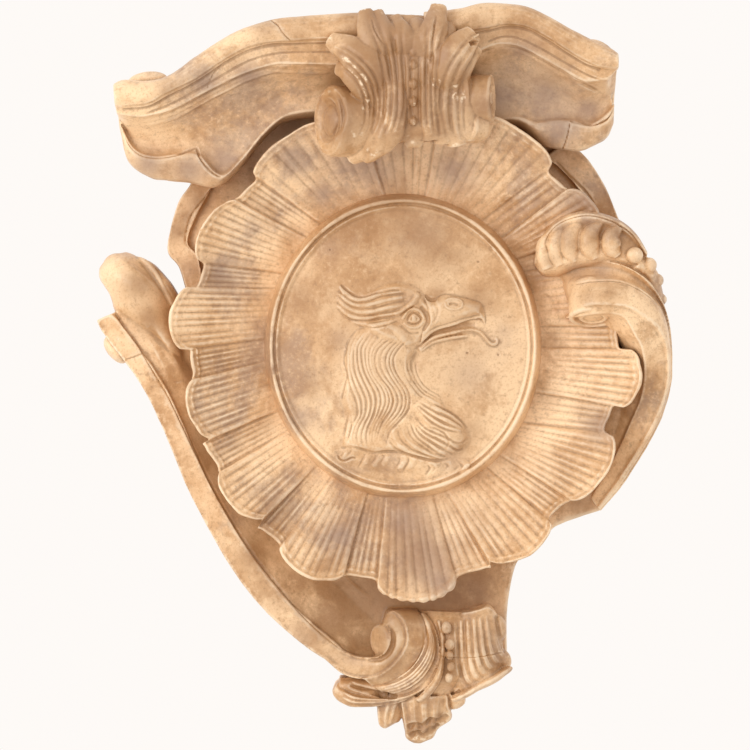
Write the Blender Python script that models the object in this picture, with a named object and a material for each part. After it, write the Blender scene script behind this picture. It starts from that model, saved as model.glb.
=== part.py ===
"""A rococo cartouche carved from one block of veined, honey-coloured marble.

The frame has +Z up. The carving faces -Y and its flat back lies on the wall plane y = 0.
The origin is on that back, behind the middle of the oval medallion.

Carved forms are drawn in grid steps from the medallion's middle, right and up, with GRID_ROWS
steps in the height, and in levels out from the wall, with GRID_LEVELS levels in the depth.
"""

import math

import bmesh
import bpy
import numpy as np

# Driving sizes, in metres
HEIGHT = 0.500
DEPTH = 0.120
SLAB_DEPTH = 0.027
EAR_BORDER_DEPTH = 0.032
MEDALLION_WIDTH = 0.1874
MEDALLION_HEIGHT = 0.2063
MEDALLION_DEPTH = 0.066
MEDALLION_RIM = 0.0055
MEDALLION_RIM_FALL = 0.004
MEDALLION_RIM_ROUND = 0.002
MEDALLION_FOOT_FLARE = 0.004
MEDALLION_FOOT_RISE = 0.006
MEDALLION_SIDES = 72
FRILL_FOOT_DEPTH = 0.045
FRILL_LIP_DEPTH = 0.072
FRILL_LIP_THICKNESS = 0.0045
FRILL_LIP_WIDTH = 0.002
FRILL_UNDERCUT = 0.013
PANEL_DROP = 0.006
ARM_BAND_DEPTH = 0.046
HEAD_RELIEF = 0.008
FIELD_FALL = 0.0085
BEAD_RADIUS = 0.0037
FOOT_BEAD_RADIUS = 0.0031
VOLUTE_EYE_RADIUS = 0.0112
SCROLL_ROLL_RADIUS = 0.0166
SCROLL_ROLL_HALF_LENGTH = 0.0135

# The drawing grid of the carved forms
GRID_ROWS = 739
GRID_LEVELS = 120
STEP = HEIGHT / GRID_ROWS
LEVEL = DEPTH / GRID_LEVELS

# Enlarged drawings laid over the grid: their top left corner's column and row, and their scale
KNOB_SHEET = (-323, 116, 0.1085)
CLASP_SHEET = (-103, 346, 0.12755)
SCROLL_SHEET = (117, 146, 0.1148)
FOOT_SHEET = (-83, -234, 0.1339)

# How far every form runs behind the wall plane before the back is cut flat, in levels
BEHIND = -3

# How far the C-scroll's inner side slopes in towards the medallion, in steps
RIBBON_WALL_STEPS = 22

# Mesh making: remesh cell in metres and the number of triangles kept
CELL = 0.0016
MOST_TRIANGLES = 9400
FEWEST_CORNERS = 4


def smooth(points, spans):
    """Points along a Catmull-Rom curve through the given points, spans per stretch."""
    knots = np.asarray(points, dtype=float)
    before = 2 * knots[0] - knots[1]
    after = 2 * knots[-1] - knots[-2]
    padded = np.concatenate((before[None], knots, after[None]))
    curve = []
    for index in range(len(knots) - 1):
        p0, p1, p2, p3 = padded[index:index + 4]
        for t in np.arange(spans) / spans:
            curve.append(
                0.5 * (2 * p1 + (p2 - p0) * t + (2 * p0 - 5 * p1 + 4 * p2 - p3) * t**2
                       + (3 * p1 - p0 - 3 * p2 + p3) * t**3)
            )
    curve.append(knots[-1])
    return np.array(curve)


def to_metres(points):
    """Grid points (right, up, level) as metres."""
    grid = np.asarray(points, dtype=float)
    return np.stack((grid[..., 0] * STEP, -grid[..., 2] * LEVEL, grid[..., 1] * STEP), axis=-1)


def mix(start, end, share):
    """The point a share of the way from start to end."""
    return tuple(a + (b - a) * share for a, b in zip(start, end))


def on_sheet(sheet, point):
    """The grid place of a point read right and down from the corner of an enlarged drawing."""
    left, top, scale = sheet
    return left + point[0] * scale, top - point[1] * scale


class Block:
    """The stone: closed forms that overlap, gathered as one mesh."""

    def __init__(self):
        self.mesh = bmesh.new()

    def loft(self, rings):
        """Skin closed rings of equal length, given in metres, and cap both ends."""
        rows = [[self.mesh.verts.new(point) for point in ring] for ring in rings]
        size = len(rows[0])
        for lower, upper in zip(rows[:-1], rows[1:]):
            for index in range(size):
                after = (index + 1) % size
                self.mesh.faces.new((lower[index], lower[after], upper[after], upper[index]))
        self.mesh.faces.new(list(reversed(rows[0])))
        self.mesh.faces.new(rows[-1])

    def sweep(self, path, widths, depths, sides=12, spans=4):
        """A round or flattened limb along a grid path: half widths in steps, half depths in levels."""
        line = to_metres(smooth(path, spans))
        wide = smooth(np.reshape(widths, (-1, 1)), spans)[:, 0] * STEP
        deep = smooth(np.reshape(depths, (-1, 1)), spans)[:, 0] * LEVEL
        along = np.gradient(line, axis=0)
        along /= np.linalg.norm(along, axis=1)[:, None]
        across = np.cross(along, (0.0, -1.0, 0.0))
        across /= np.linalg.norm(across, axis=1)[:, None]
        outward = np.cross(across, along)
        angles = np.arange(sides) * math.tau / sides
        rings = (line[:, None] + across[:, None] * (wide[:, None, None] * np.cos(angles)[None, :, None])
                 + outward[:, None] * (deep[:, None, None] * np.sin(angles)[None, :, None]))
        self.loft(rings)

    def turned(self, centre, axis, profile, sides=28):
        """A turned form about an axis through a grid point: profile pairs of radius and distance."""
        middle = to_metres(centre)
        ahead = np.asarray(axis, dtype=float)
        ahead /= np.linalg.norm(ahead)
        side = np.cross(ahead, (0.0, 0.0, 1.0) if abs(ahead[2]) < 0.8 else (1.0, 0.0, 0.0))
        side /= np.linalg.norm(side)
        up = np.cross(ahead, side)
        angles = np.arange(sides) * math.tau / sides
        spokes = np.cos(angles)[:, None] * side + np.sin(angles)[:, None] * up
        self.loft([middle + ahead * distance + spokes * radius for radius, distance in profile])

    def egg(self, centre, radii, tilt=0.0, rows=8, sides=12):
        """An egg at a grid point: radii along, across (steps) and out (levels), long axis turned by tilt."""
        middle = to_metres(centre)
        turn = math.radians(tilt)
        long_axis = np.array((math.cos(turn), 0.0, math.sin(turn)))
        cross_axis = np.array((-math.sin(turn), 0.0, math.cos(turn)))
        out_axis = np.array((0.0, -1.0, 0.0))
        angles = np.arange(sides) * math.tau / sides
        rings = []
        for polar in np.linspace(0.06, math.pi - 0.06, rows):
            reach = math.sin(polar)
            ring = [middle + long_axis * radii[0] * STEP * math.cos(polar)
                    + reach * (cross_axis * radii[1] * STEP * math.cos(angle)
                               + out_axis * radii[2] * LEVEL * math.sin(angle))
                    for angle in angles]
            rings.append(ring)
        self.loft(rings)

    def sections(self, stations, spans=4):
        """Loft cross-sections (each a loop of grid points) along the stations."""
        self.loft(to_metres(smooth(stations, spans)))

    def bolster(self, stations, foot=BEHIND, drop=10):
        """A rounded ridge between two lines: left place, right place and crown level at each station."""
        self.sections([(
            (*left, foot), (*left, level - drop), (*mix(left, right, 0.12), level - drop * 0.45),
            (*mix(left, right, 0.3), level - drop * 0.1), (*mix(left, right, 0.5), level),
            (*mix(left, right, 0.7), level - drop * 0.1), (*mix(left, right, 0.88), level - drop * 0.45),
            (*right, level - drop), (*right, foot),
        ) for left, right, level in stations])

    def ridge(self, sheet, stations, foot=BEHIND, drop=10):
        """A bolster whose places are read from an enlarged drawing."""
        self.bolster([(on_sheet(sheet, left), on_sheet(sheet, right), level)
                      for left, right, level in stations], foot, drop)

    def plate(self, outline, depth, spans=4):
        """A flat plate with a smooth outline made of joined curves, depth in metres."""
        edge = np.concatenate([smooth(stretch, spans)[:-1] for stretch in outline])
        flat = np.stack((edge[:, 0] * STEP, np.zeros(len(edge)), edge[:, 1] * STEP), axis=1)
        back = flat + (0.0, -BEHIND * LEVEL, 0.0)
        front = flat + (0.0, -depth, 0.0)
        self.loft([back, front])


def carve_slab(block):
    """The flat back slab that carries the carving, with its two ears."""
    left_ear = [(-183, 236), (-198, 196), (-213, 164), (-227, 141), (-237, 98)]
    left_side = [(-237, 98), (-225, 80), (-217, 54), (-240, 20), (-255, -20), (-230, -75), (-205, -135)]
    bottom_left = [(-205, -135), (-165, -210), (-125, -258), (-75, -298), (-40, -318), (-3, -345)]
    foot = [(-3, -345), (47, -348), (96, -329)]
    bottom_right = [(96, -329), (104, -316), (105, -268), (109, -239), (115, -218), (127, -207)]
    right_cusp = [(127, -207), (143, -194), (153, -182), (177, -172), (198, -166)]
    right_side = [(198, -166), (225, -132), (248, -84), (262, -46), (264, -4), (250, 36), (237, 76)]
    right_ear = [(237, 76), (218, 126), (202, 164), (182, 193), (157, 216)]
    top = [(157, 216), (77, 286), (22, 320), (-22, 320), (-103, 286), (-183, 236)]
    block.plate(
        (left_ear, left_side, bottom_left, foot, bottom_right, right_cusp, right_side, right_ear, top),
        SLAB_DEPTH,
    )


def ear_border(block, pairs):
    """A raised border along an ear: pairs of outer and inner grid places."""
    level = EAR_BORDER_DEPTH / LEVEL
    stations = []
    for outer, inner in pairs:
        stations.append((
            (*outer, BEHIND), (*outer, level - 2), (*mix(outer, inner, 0.12), level),
            (*mix(outer, inner, 0.88), level), (*inner, level - 2), (*inner, BEHIND),
        ))
    block.sections(stations)


def carve_ears(block):
    """The raised borders of the slab's left and right ears."""
    ear_border(block, (
        ((-180, 225), (-165, 205)), ((-198, 196), (-182, 180)), ((-213, 164), (-196, 152)),
        ((-227, 141), (-208, 130)), ((-237, 98), (-216, 104)), ((-225, 80), (-206, 90)),
        ((-217, 54), (-200, 60)),
    ))
    ear_border(block, (
        ((162, 205), (142, 190)), ((182, 193), (160, 176)), ((202, 164), (182, 150)),
        ((218, 126), (200, 116)), ((232, 88), (214, 80)),
    ))


# The frill's panels clockwise from the top: where each starts at the rim and at the foot,
# in degrees, its reach from the middle in grid steps, and whether it is a raised lobe
PANELS = (
    (-10.3, -7.6, 225, False),
    (8.9, 9.4, 246, True),
    (39.6, 34.4, 225, False),
    (46.2, 45.5, 237, True),
    (60.0, 55.0, 222, False),
    (66.0, 61.0, 236, True),
    (84.9, 82.3, 214, False),
    (90.8, 90.8, 239, True),
    (105.8, 107.4, 217, False),
    (113.1, 120.6, 239, True),
    (132.8, 135.5, 225, False),
    (140.0, 143.1, 243, True),
    (158.3, 161.8, 236, False),
    (167.1, 167.9, 255, True),
    (186.3, 187.3, 235, False),
    (194.4, 194.9, 249, True),
    (211.5, 210.8, 232, False),
    (218.8, 218.5, 234, True),
    (235.7, 236.2, 221, False),
    (244.1, 244.8, 224, True),
    (261.0, 264.4, 212, False),
    (269.0, 272.8, 234, True),
    (285.5, 292.0, 213, False),
    (292.6, 298.6, 233, True),
    (311.2, 315.5, 221, False),
    (318.7, 323.3, 240, True),
)
LOBE_SAMPLES = 6
PANEL_SAMPLES = 4
LOBE_BOW = 0.035
LOBE_CROWN = 0.0015
FRILL_FLARE = 0.65


def frill_spokes():
    """For each spoke round the frill: foot and rim places in grid steps, and how far it is sunk."""
    foot_wide = MEDALLION_WIDTH / STEP / 2
    foot_high = MEDALLION_HEIGHT / STEP / 2
    feet, rims, sunk = [], [], []
    for index, (rim_start, foot_start, reach, raised) in enumerate(PANELS):
        rim_end, foot_end = PANELS[(index + 1) % len(PANELS)][:2]
        turn = 360 if index == len(PANELS) - 1 else 0
        for share in np.linspace(0.02, 0.98, LOBE_SAMPLES if raised else PANEL_SAMPLES):
            rim_angle = math.radians(rim_start + (rim_end + turn - rim_start) * share)
            foot_angle = math.radians(foot_start + (foot_end + turn - foot_start) * share)
            middle = 1 - (2 * share - 1) ** 2
            bow = LOBE_BOW * (middle - 1) if raised else 0.0
            feet.append((foot_wide * math.sin(foot_angle), foot_high * math.cos(foot_angle)))
            rims.append((reach * (1 + bow) * math.sin(rim_angle), reach * (1 + bow) * math.cos(rim_angle)))
            sunk.append(-LOBE_CROWN * middle if raised else PANEL_DROP)
    return np.array(feet), np.array(rims), np.array(sunk)


def carve_frill(block):
    """The scalloped frill: lobes and sunk panels from the medallion's foot to a curled lip."""
    feet, rims, sunk = frill_spokes()
    spans = rims - feet
    lengths = np.linalg.norm(spans, axis=1)
    ways = spans / lengths[:, None]

    def ring(share, inset, depth):
        flat = feet + ways * (lengths * share - inset / STEP)[:, None]
        return np.stack((flat[:, 0] * STEP, np.broadcast_to(-depth, len(flat)), flat[:, 1] * STEP), axis=1)

    def face_depth(share):
        rise = (1 - FRILL_FLARE) * share + FRILL_FLARE * share**2
        return FRILL_FOOT_DEPTH + (FRILL_LIP_DEPTH - FRILL_FOOT_DEPTH) * rise - sunk * (0.15 + 0.85 * share)

    lip = face_depth(1.0)
    rings = [ring(-0.25, 0.0, FRILL_FOOT_DEPTH)]
    rings += [ring(share, 0.0, face_depth(share)) for share in (0.0, 0.25, 0.5, 0.75, 0.93)]
    rings.append(ring(1.0, FRILL_LIP_WIDTH, lip - FRILL_LIP_THICKNESS * 0.1))
    rings.append(ring(1.0, 0.0, lip - FRILL_LIP_THICKNESS * 0.6))
    rings.append(ring(1.0, FRILL_LIP_THICKNESS * 0.5, lip - FRILL_LIP_THICKNESS * 1.3))
    rings.append(ring(1.0, FRILL_UNDERCUT * 0.6, lip * 0.72))
    rings.append(ring(1.0, FRILL_UNDERCUT, lip * 0.45))
    rings.append(ring(1.0, FRILL_UNDERCUT * 1.15, BEHIND * LEVEL))
    block.loft(rings[::-1])


def carve_medallion(block):
    """The oval boss with a raised rim, a groove inside it and a gently domed field."""
    half_wide, half_high = MEDALLION_WIDTH / 2, MEDALLION_HEIGHT / 2
    rim = MEDALLION_DEPTH - MEDALLION_RIM_FALL
    groove = rim - MEDALLION_RIM_FALL
    profile = (
        (-MEDALLION_FOOT_FLARE, SLAB_DEPTH), (0.0, FRILL_FOOT_DEPTH),
        (MEDALLION_RIM * 0.3, FRILL_FOOT_DEPTH + MEDALLION_FOOT_RISE),
        (MEDALLION_RIM * 0.6, rim - MEDALLION_RIM_ROUND), (MEDALLION_RIM * 0.75, rim),
        (MEDALLION_RIM, rim), (MEDALLION_RIM * 1.3, groove),
    )
    for share in (0.9, 0.75, 0.5, 0.2, 0.02):
        profile += (((1 - share) * half_wide, MEDALLION_DEPTH - FIELD_FALL * share**2),)
    angles = np.arange(MEDALLION_SIDES) * math.tau / MEDALLION_SIDES
    rings = [
        np.stack(((half_wide - inset) * np.sin(angles), np.full(MEDALLION_SIDES, -depth),
                  (half_wide - inset) / half_wide * half_high * np.cos(angles)), axis=1)
        for inset, depth in profile
    ]
    block.loft(rings)


# The crest's wings: at each station the places of the top edge, the top roll's lower line,
# the fillet, the lip's upper line and the lip's lower edge
LEFT_WING = (
    ((-20, 329), (-20, 300), (-20, 280), (-20, 232), (-20, 222)),
    ((-58, 329), (-60, 299), (-63, 277), (-75, 236), (-76, 228)),
    ((-106, 325), (-107, 298), (-114, 276), (-114, 232), (-116, 224)),
    ((-131, 322), (-130, 297), (-134, 274), (-138, 214), (-140, 206)),
    ((-160, 313), (-153, 291), (-160, 266), (-160, 188), (-163, 176)),
    ((-181, 302), (-175, 280), (-190, 252), (-181, 170), (-186, 158)),
    ((-206, 285), (-206, 260), (-210, 241), (-204, 190), (-211, 162)),
    ((-230, 268), (-233, 246), (-236, 230), (-226, 190), (-236, 165)),
    ((-253, 262), (-252, 236), (-254, 226), (-247, 188), (-252, 168)),
    ((-276, 263), (-274, 234), (-275, 227), (-268, 196), (-274, 184)),
    ((-287, 259), (-285, 236), (-284, 230), (-282, 223), (-283, 218)),
)
RIGHT_WING = (
    ((20, 330), (20, 302), (20, 282), (20, 232), (20, 222)),
    ((52, 333), (58, 306), (64, 286), (72, 226), (72, 218)),
    ((79, 339), (85, 311), (86, 293), (94, 227), (95, 219)),
    ((104, 338), (104, 315), (107, 295), (114, 228), (115, 218)),
    ((123, 335), (123, 312), (123, 290), (134, 222), (138, 200)),
    ((143, 326), (143, 301), (139, 281), (152, 224), (158, 196)),
    ((162, 315), (163, 288), (157, 271), (170, 223), (176, 194)),
    ((185, 303), (182, 277), (175, 261), (187, 220), (189, 199)),
    ((205, 293), (197, 270), (192, 254), (203, 226), (205, 208)),
    ((214, 284), (207, 264), (203, 250), (210, 238), (212, 233)),
)


def wing_section(top, roll, fillet, lip, edge):
    """One cross-section of a crest wing, from the back at the top to the back at the lip."""
    return (
        (*mix(top, roll, 0.35), BEHIND), (*mix(top, roll, 0.30), 38), (*mix(top, roll, 0.04), 62),
        (*top, 82), (*top, 92), (*mix(top, roll, 0.25), 99), (*mix(top, roll, 0.65), 100),
        (*roll, 95), (*mix(roll, fillet, 0.15), 90), (*mix(roll, fillet, 0.75), 87),
        (*fillet, 85), (*mix(fillet, lip, 0.12), 78), (*mix(fillet, lip, 0.42), 66),
        (*mix(fillet, lip, 0.75), 61), (*mix(fillet, lip, 0.95), 64), (*lip, 68),
        (*mix(lip, edge, 0.5), 66), (*edge, 58), (*mix(edge, lip, 0.25), 34),
        (*mix(edge, lip, 0.5), BEHIND),
    )


def carve_crest(block):
    """The winged crest: a roll, a fillet, a deep cove and a lower lip, with the scroll eyes behind."""
    for wing in (LEFT_WING, RIGHT_WING):
        block.sections([wing_section(*station) for station in wing], spans=3)
    block.egg((-254, 264, 66), (20, 9, 12), tilt=6)
    block.egg((195, 295, 66), (16, 8, 12), tilt=-28)


def arm_section(outer, groove, middle, end):
    """One cross-section of the left arm: flat band, groove line and the cove inside it."""
    band = ARM_BAND_DEPTH / LEVEL
    return (
        (*outer, BEHIND), (*outer, band - 2), (*mix(outer, groove, 0.1), band),
        (*mix(outer, groove, 0.9), band), (*groove, band - 3), middle, end, (*end[:2], BEHIND),
    )


def carve_left_arm(block):
    """The long scroll arm down the left side."""
    stations = (
        ((-307, 26), (-291, 33), (-268, 42, 45), (-231, 38, 38)),
        ((-301, 14), (-280, 21), (-258, 28, 46), (-225, 28, 35)),
        ((-280, -14), (-263, -2), (-245, 6, 44), (-215, 6, 31)),
        ((-269, -29), (-250, -21), (-231, -16, 41), (-205, -9, 28)),
        ((-254, -54), (-234, -47), (-217, -42, 37), (-190, -34, 26)),
        ((-231, -105), (-210, -100), (-195, -94, 34), (-165, -84, 25)),
        ((-212, -151), (-189, -143), (-171, -134, 33), (-141, -119, 25)),
        ((-173, -220), (-153, -205), (-135, -191, 33), (-107, -169, 25)),
        ((-140, -263), (-120, -248), (-103, -231, 33), (-78, -204, 25)),
        ((-104, -296), (-89, -278), (-72, -257, 34), (-52, -232, 25)),
        ((-79, -313), (-74, -290), (-60, -272, 34), (-38, -244, 25)),
        ((-58, -324), (-49, -312), (-42, -292, 32), (-20, -256, 24)),
        ((-32, -325), (-26, -314), (-20, -300, 29), (0, -268, 22)),
    )
    block.sections([arm_section(*station) for station in stations])


def carve_knob(block):
    """The rolled knob at the arm's upper end, its far leaf and its side button."""
    block.ridge(KNOB_SHEET, (
        ((230, 262), (400, 196), 40), ((172, 340), (480, 225), 51), ((170, 430), (570, 300), 56),
        ((212, 505), (660, 385), 58), ((262, 580), (740, 480), 58), ((290, 660), (800, 580), 56),
        ((320, 750), (840, 680), 54), ((420, 850), (870, 790), 51), ((540, 960), (910, 910), 48),
        ((640, 1080), (960, 1040), 43), ((720, 1200), (1010, 1160), 37), ((800, 1330), (1060, 1290), 31),
    ), drop=19)
    block.egg((-287, 78, 34), (15, 15, 17))
    block.ridge(KNOB_SHEET, (
        ((430, 300), (520, 238), 40), ((560, 400), (648, 300), 44), ((680, 500), (785, 440), 46),
        ((760, 610), (862, 545), 45), ((790, 720), (905, 640), 41),
    ), drop=8)
    block.egg((-290, -4, 18), (16, 8, 15), tilt=-52)


def carve_bottom_volute(block):
    """The volute that ends the arm: its band coils in on itself, round a coin-like eye."""
    block.ridge(FOOT_SHEET, (
        ((30, 590), (30, 400), 46), ((150, 695), (130, 495), 47), ((250, 735), (220, 548), 49),
        ((350, 742), (310, 572), 52), ((450, 707), (405, 572), 55), ((562, 622), (470, 548), 58),
        ((642, 505), (512, 485), 60), ((657, 420), (525, 430), 61), ((642, 330), (515, 372), 61),
        ((602, 262), (498, 342), 60), ((545, 222), (482, 330), 58), ((495, 250), (470, 330), 55),
    ), drop=3.5)
    wall = (
        ((330, 742), (390, 800), 50, 42), ((450, 705), (510, 775), 54, 46), ((560, 622), (665, 700), 57, 50),
        ((640, 505), (775, 565), 59, 53), ((656, 420), (800, 440), 60, 55), ((642, 330), (790, 335), 60, 54),
        ((602, 262), (755, 262), 59, 51), ((545, 222), (700, 222), 57, 47), ((500, 236), (600, 225), 52, 42),
    )
    block.sections([volute_wall(on_sheet(FOOT_SHEET, edge), on_sheet(FOOT_SHEET, side), high, low)
                    for edge, side, high, low in wall])
    radius = VOLUTE_EYE_RADIUS
    block.turned((-20.5, -294, 50), (-0.80, -0.60, 0.0), (
        (radius * 0.9, -radius * 1.4), (radius, -radius * 0.7), (radius, radius * 0.15),
        (radius * 0.84, radius * 0.32), (radius * 0.1, radius * 0.4),
    ))


def volute_wall(edge, side, high, low):
    """One cross-section of the volute's outer wall, from its edge down to the leaves beside it."""
    return (
        (*edge, BEHIND), (*edge, high - 6), (*edge, high), (*mix(edge, side, 0.45), high * 0.7 + low * 0.3),
        (*mix(edge, side, 0.85), high * 0.25 + low * 0.75), (*side, low - 6), (*side, BEHIND),
    )


def carve_right_scroll(block):
    """The C-scroll on the right: a ribbon that rises from the corner and rolls over at the top."""
    stations = (
        ((150, 72), (160, 60), (161, 40), (163, 33), 53, 57, 61),
        ((161, 80), (169, 62), (167, 36), (168, 29), 60, 69, 77),
        ((186, 85), (186, 64), (186, 41), (187, 31), 69, 79, 90),
        ((214.6, 82), (209, 64.5), (209, 40.4), (208, 31), 76, 83, 91),
        ((237, 70), (226, 60), (226, 37), (219, 26), 76, 82, 89),
        ((252, 54), (243, 50), (243, 26.6), (229, 10), 68, 76, 84),
        ((262, 36), (257, 34), (254, 17), (236, -3), 60, 70, 79),
        ((268, 12), (265, 9), (262, 1), (239, -20), 51, 63, 72),
        ((269.5, -18), (267, -21), (265, -25), (239, -38), 48, 57, 64),
        ((267, -45), (265, -46), (262, -48), (236, -54), 45, 52, 57),
        ((255, -82), (253, -81), (250, -80), (228, -74), 41, 46, 49),
        ((226, -132), (224, -131), (221, -128), (209, -116), 35, 39, 41),
        ((199, -166), (198, -165), (196, -163), (189, -152), 29, 32, 33),
    )
    block.sections([ribbon_section(*station) for station in stations])
    radius, half = SCROLL_ROLL_RADIUS, SCROLL_ROLL_HALF_LENGTH
    block.turned((188.8, 46, 68), (0.0, -0.35, -0.937), (
        (radius * 0.6, -half), (radius * 0.8, -half * 0.8), (radius * 0.94, -half * 0.4),
        (radius, half * 0.3), (radius, half * 0.9), (radius * 0.95, half), (radius * 0.84, half),
        (radius * 0.78, half * 0.84),
        (radius * 0.62, half * 0.82), (radius * 0.56, half), (radius * 0.05, half * 1.02),
    ), sides=24)


def ribbon_section(back, crease, arris, inner, low, middle, high):
    """One cross-section of the ribbon: back edge, channel, rounded band, arris and inner side."""
    wall = mix(inner, (0, 0), RIBBON_WALL_STEPS / math.hypot(*inner))
    return (
        (*mix(back, inner, 0.15), BEHIND), (*back, low * 0.5), (*back, low - 1),
        (*mix(back, crease, 0.3), low - 1), (*mix(back, crease, 0.70), (low + middle) / 2 - 3),
        (*crease, middle),
        (*mix(crease, arris, 0.35), middle * 0.4 + high * 0.6), (*mix(crease, arris, 0.9), high),
        (*arris, high - 0.5), (*mix(arris, inner, 0.5), high - 3), (*inner, high - 7),
        (*mix(inner, wall, 0.5), high * 0.78), (*wall, high * 0.6), (*wall, BEHIND),
    )


def carve_gadroons(block):
    """The little shell above the C-scroll: its cupped rim, teardrop lobes and a run of beads."""
    rim = ((134, 88), (140, 110), (153, 125), (172, 132.5), (192, 132.5), (215, 125), (232, 111), (243, 93))
    base = ((140, 74), (150, 76), (160, 80), (172, 84), (190, 86), (208, 86), (226, 80), (238, 72))
    lifts = (0, 1, 4, 7, 10, 10, 8, 6)
    block.sections([(
        (*top, 22), (*mix(top, low, -0.02), 56 + lift), (*mix(top, low, 0.10), 68.5 + lift),
        (*mix(top, low, 0.30), 65 + lift), (*mix(top, low, 0.85), 68 + lift), (*low, 67 + lift),
        (*mix(top, low, 1.2), 50), (*mix(top, low, 1.2), 22),
    ) for top, low, lift in zip(rim, base, lifts)])
    drops = (
        (((240, 600), (205, 500), (205, 390), (270, 280)), (6, 7.5, 7, 3), 67),
        (((345, 575), (300, 470), (315, 340), (400, 245)), (5, 8, 8, 3), 69),
        (((480, 540), (430, 440), (440, 310), (530, 205)), (4, 9.5, 9.5, 3.5), 72),
        (((650, 520), (600, 430), (600, 310), (690, 205)), (4, 10, 9.5, 3.5), 76),
        (((835, 500), (785, 430), (780, 330), (850, 250)), (4, 9.5, 9, 3.5), 78),
    )
    for drawn, widths, level in drops:
        path = [(*on_sheet(SCROLL_SHEET, point), level) for point in drawn]
        block.sweep(path, widths, [width * STEP / LEVEL for width in widths])
    for drawn, radius, level in (((980, 490), 8.3, 78), ((1110, 572), 7.5, 70), ((1182, 705), 6.6, 62),
                                 ((1228, 868), 5.4, 54)):
        block.egg((*on_sheet(SCROLL_SHEET, drawn), level), (radius, radius, radius * STEP / LEVEL))
    block.sweep(((226, 86, 68), (244, 72, 58), (252, 50, 50), (256, 30, 44)), (9, 9, 8, 6), (12, 12, 12, 10))


def carve_top_clasp(block):
    """The leaf clasp over the crest's middle: its body, leaf lobes and the two rolls at its foot."""
    block.ridge(CLASP_SHEET, (
        ((520, 150), (1110, 160), 98), ((500, 260), (1160, 260), 105), ((400, 370), (1240, 350), 108),
        ((360, 500), (1290, 460), 110), ((380, 620), (1310, 580), 110), ((420, 760), (1330, 720), 108),
        ((480, 900), (1330, 860), 105), ((530, 1050), (1320, 1000), 101), ((560, 1150), (1280, 1090), 96),
    ), foot=24, drop=9)
    lobes = (
        (((-12, 262, 105), (-22, 290, 111), (-32, 315, 109), (-39, 331, 99)), (10, 15, 14, 5), (6, 7, 6, 3)),
        (((22, 262, 105), (26, 290, 111), (33, 318, 109), (38, 336, 99)), (10, 14, 12, 5), (6, 7, 6, 3)),
        (((-30, 252, 102), (-50, 280, 107), (-72, 299, 103), (-96, 314, 94)), (12, 15, 10, 4), (6, 7, 6, 4)),
        (((-34, 232, 101), (-48, 262, 106), (-62, 284, 103)), (12, 15, 7), (7, 8, 5)),
        (((34, 245, 102), (52, 280, 108), (66, 304, 107), (78, 312, 103)), (12, 16, 12, 5), (6, 8, 7, 4)),
        (((42, 225, 100), (60, 252, 104), (72, 282, 101)), (12, 14, 7), (7, 8, 5)),
        (((-20, 268, 105), (-25, 236, 106), (-22, 206, 100), (-12, 190, 90)), (12, 17, 16, 9), (7, 8, 8, 5)),
        (((38, 266, 105), (42, 236, 104), (40, 210, 98), (34, 194, 88)), (12, 17, 15, 9), (7, 8, 8, 5)),
        (((-70, 272, 98), (-54, 250, 102), (-44, 222, 100), (-46, 196, 93)), (7, 11, 13, 9), (7, 8, 8, 6)),
        (((70, 268, 98), (64, 240, 100), (62, 214, 97), (60, 198, 88)), (7, 10, 11, 8), (7, 8, 8, 6)),
    )
    for path, widths, depths in lobes:
        block.sweep(path, widths, depths)
    rolls = (((-60, 222, 88), (-0.90, -0.44, 0.0), 35.5, 17), ((76, 245, 88), (0.985, -0.17, 0.0), 23.5, 12))
    for centre, axis, radius_steps, half_steps in rolls:
        radius, half = radius_steps * STEP, half_steps * STEP
        block.turned(centre, axis, (
            (radius * 0.8, -half * 1.6), (radius * 0.95, -half), (radius, half * 0.7), (radius * 0.92, half),
            (radius * 0.75, half), (radius * 0.66, half * 0.75), (radius * 0.36, half * 0.75),
            (radius * 0.28, half), (radius * 0.05, half),
        ))
    for row, level in ((291, 111), (276, 111), (257, 109), (240, 107), (221, 103)):
        radius = BEAD_RADIUS / STEP
        block.egg((9.5, row, level), (radius, radius, BEAD_RADIUS / LEVEL))


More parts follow.
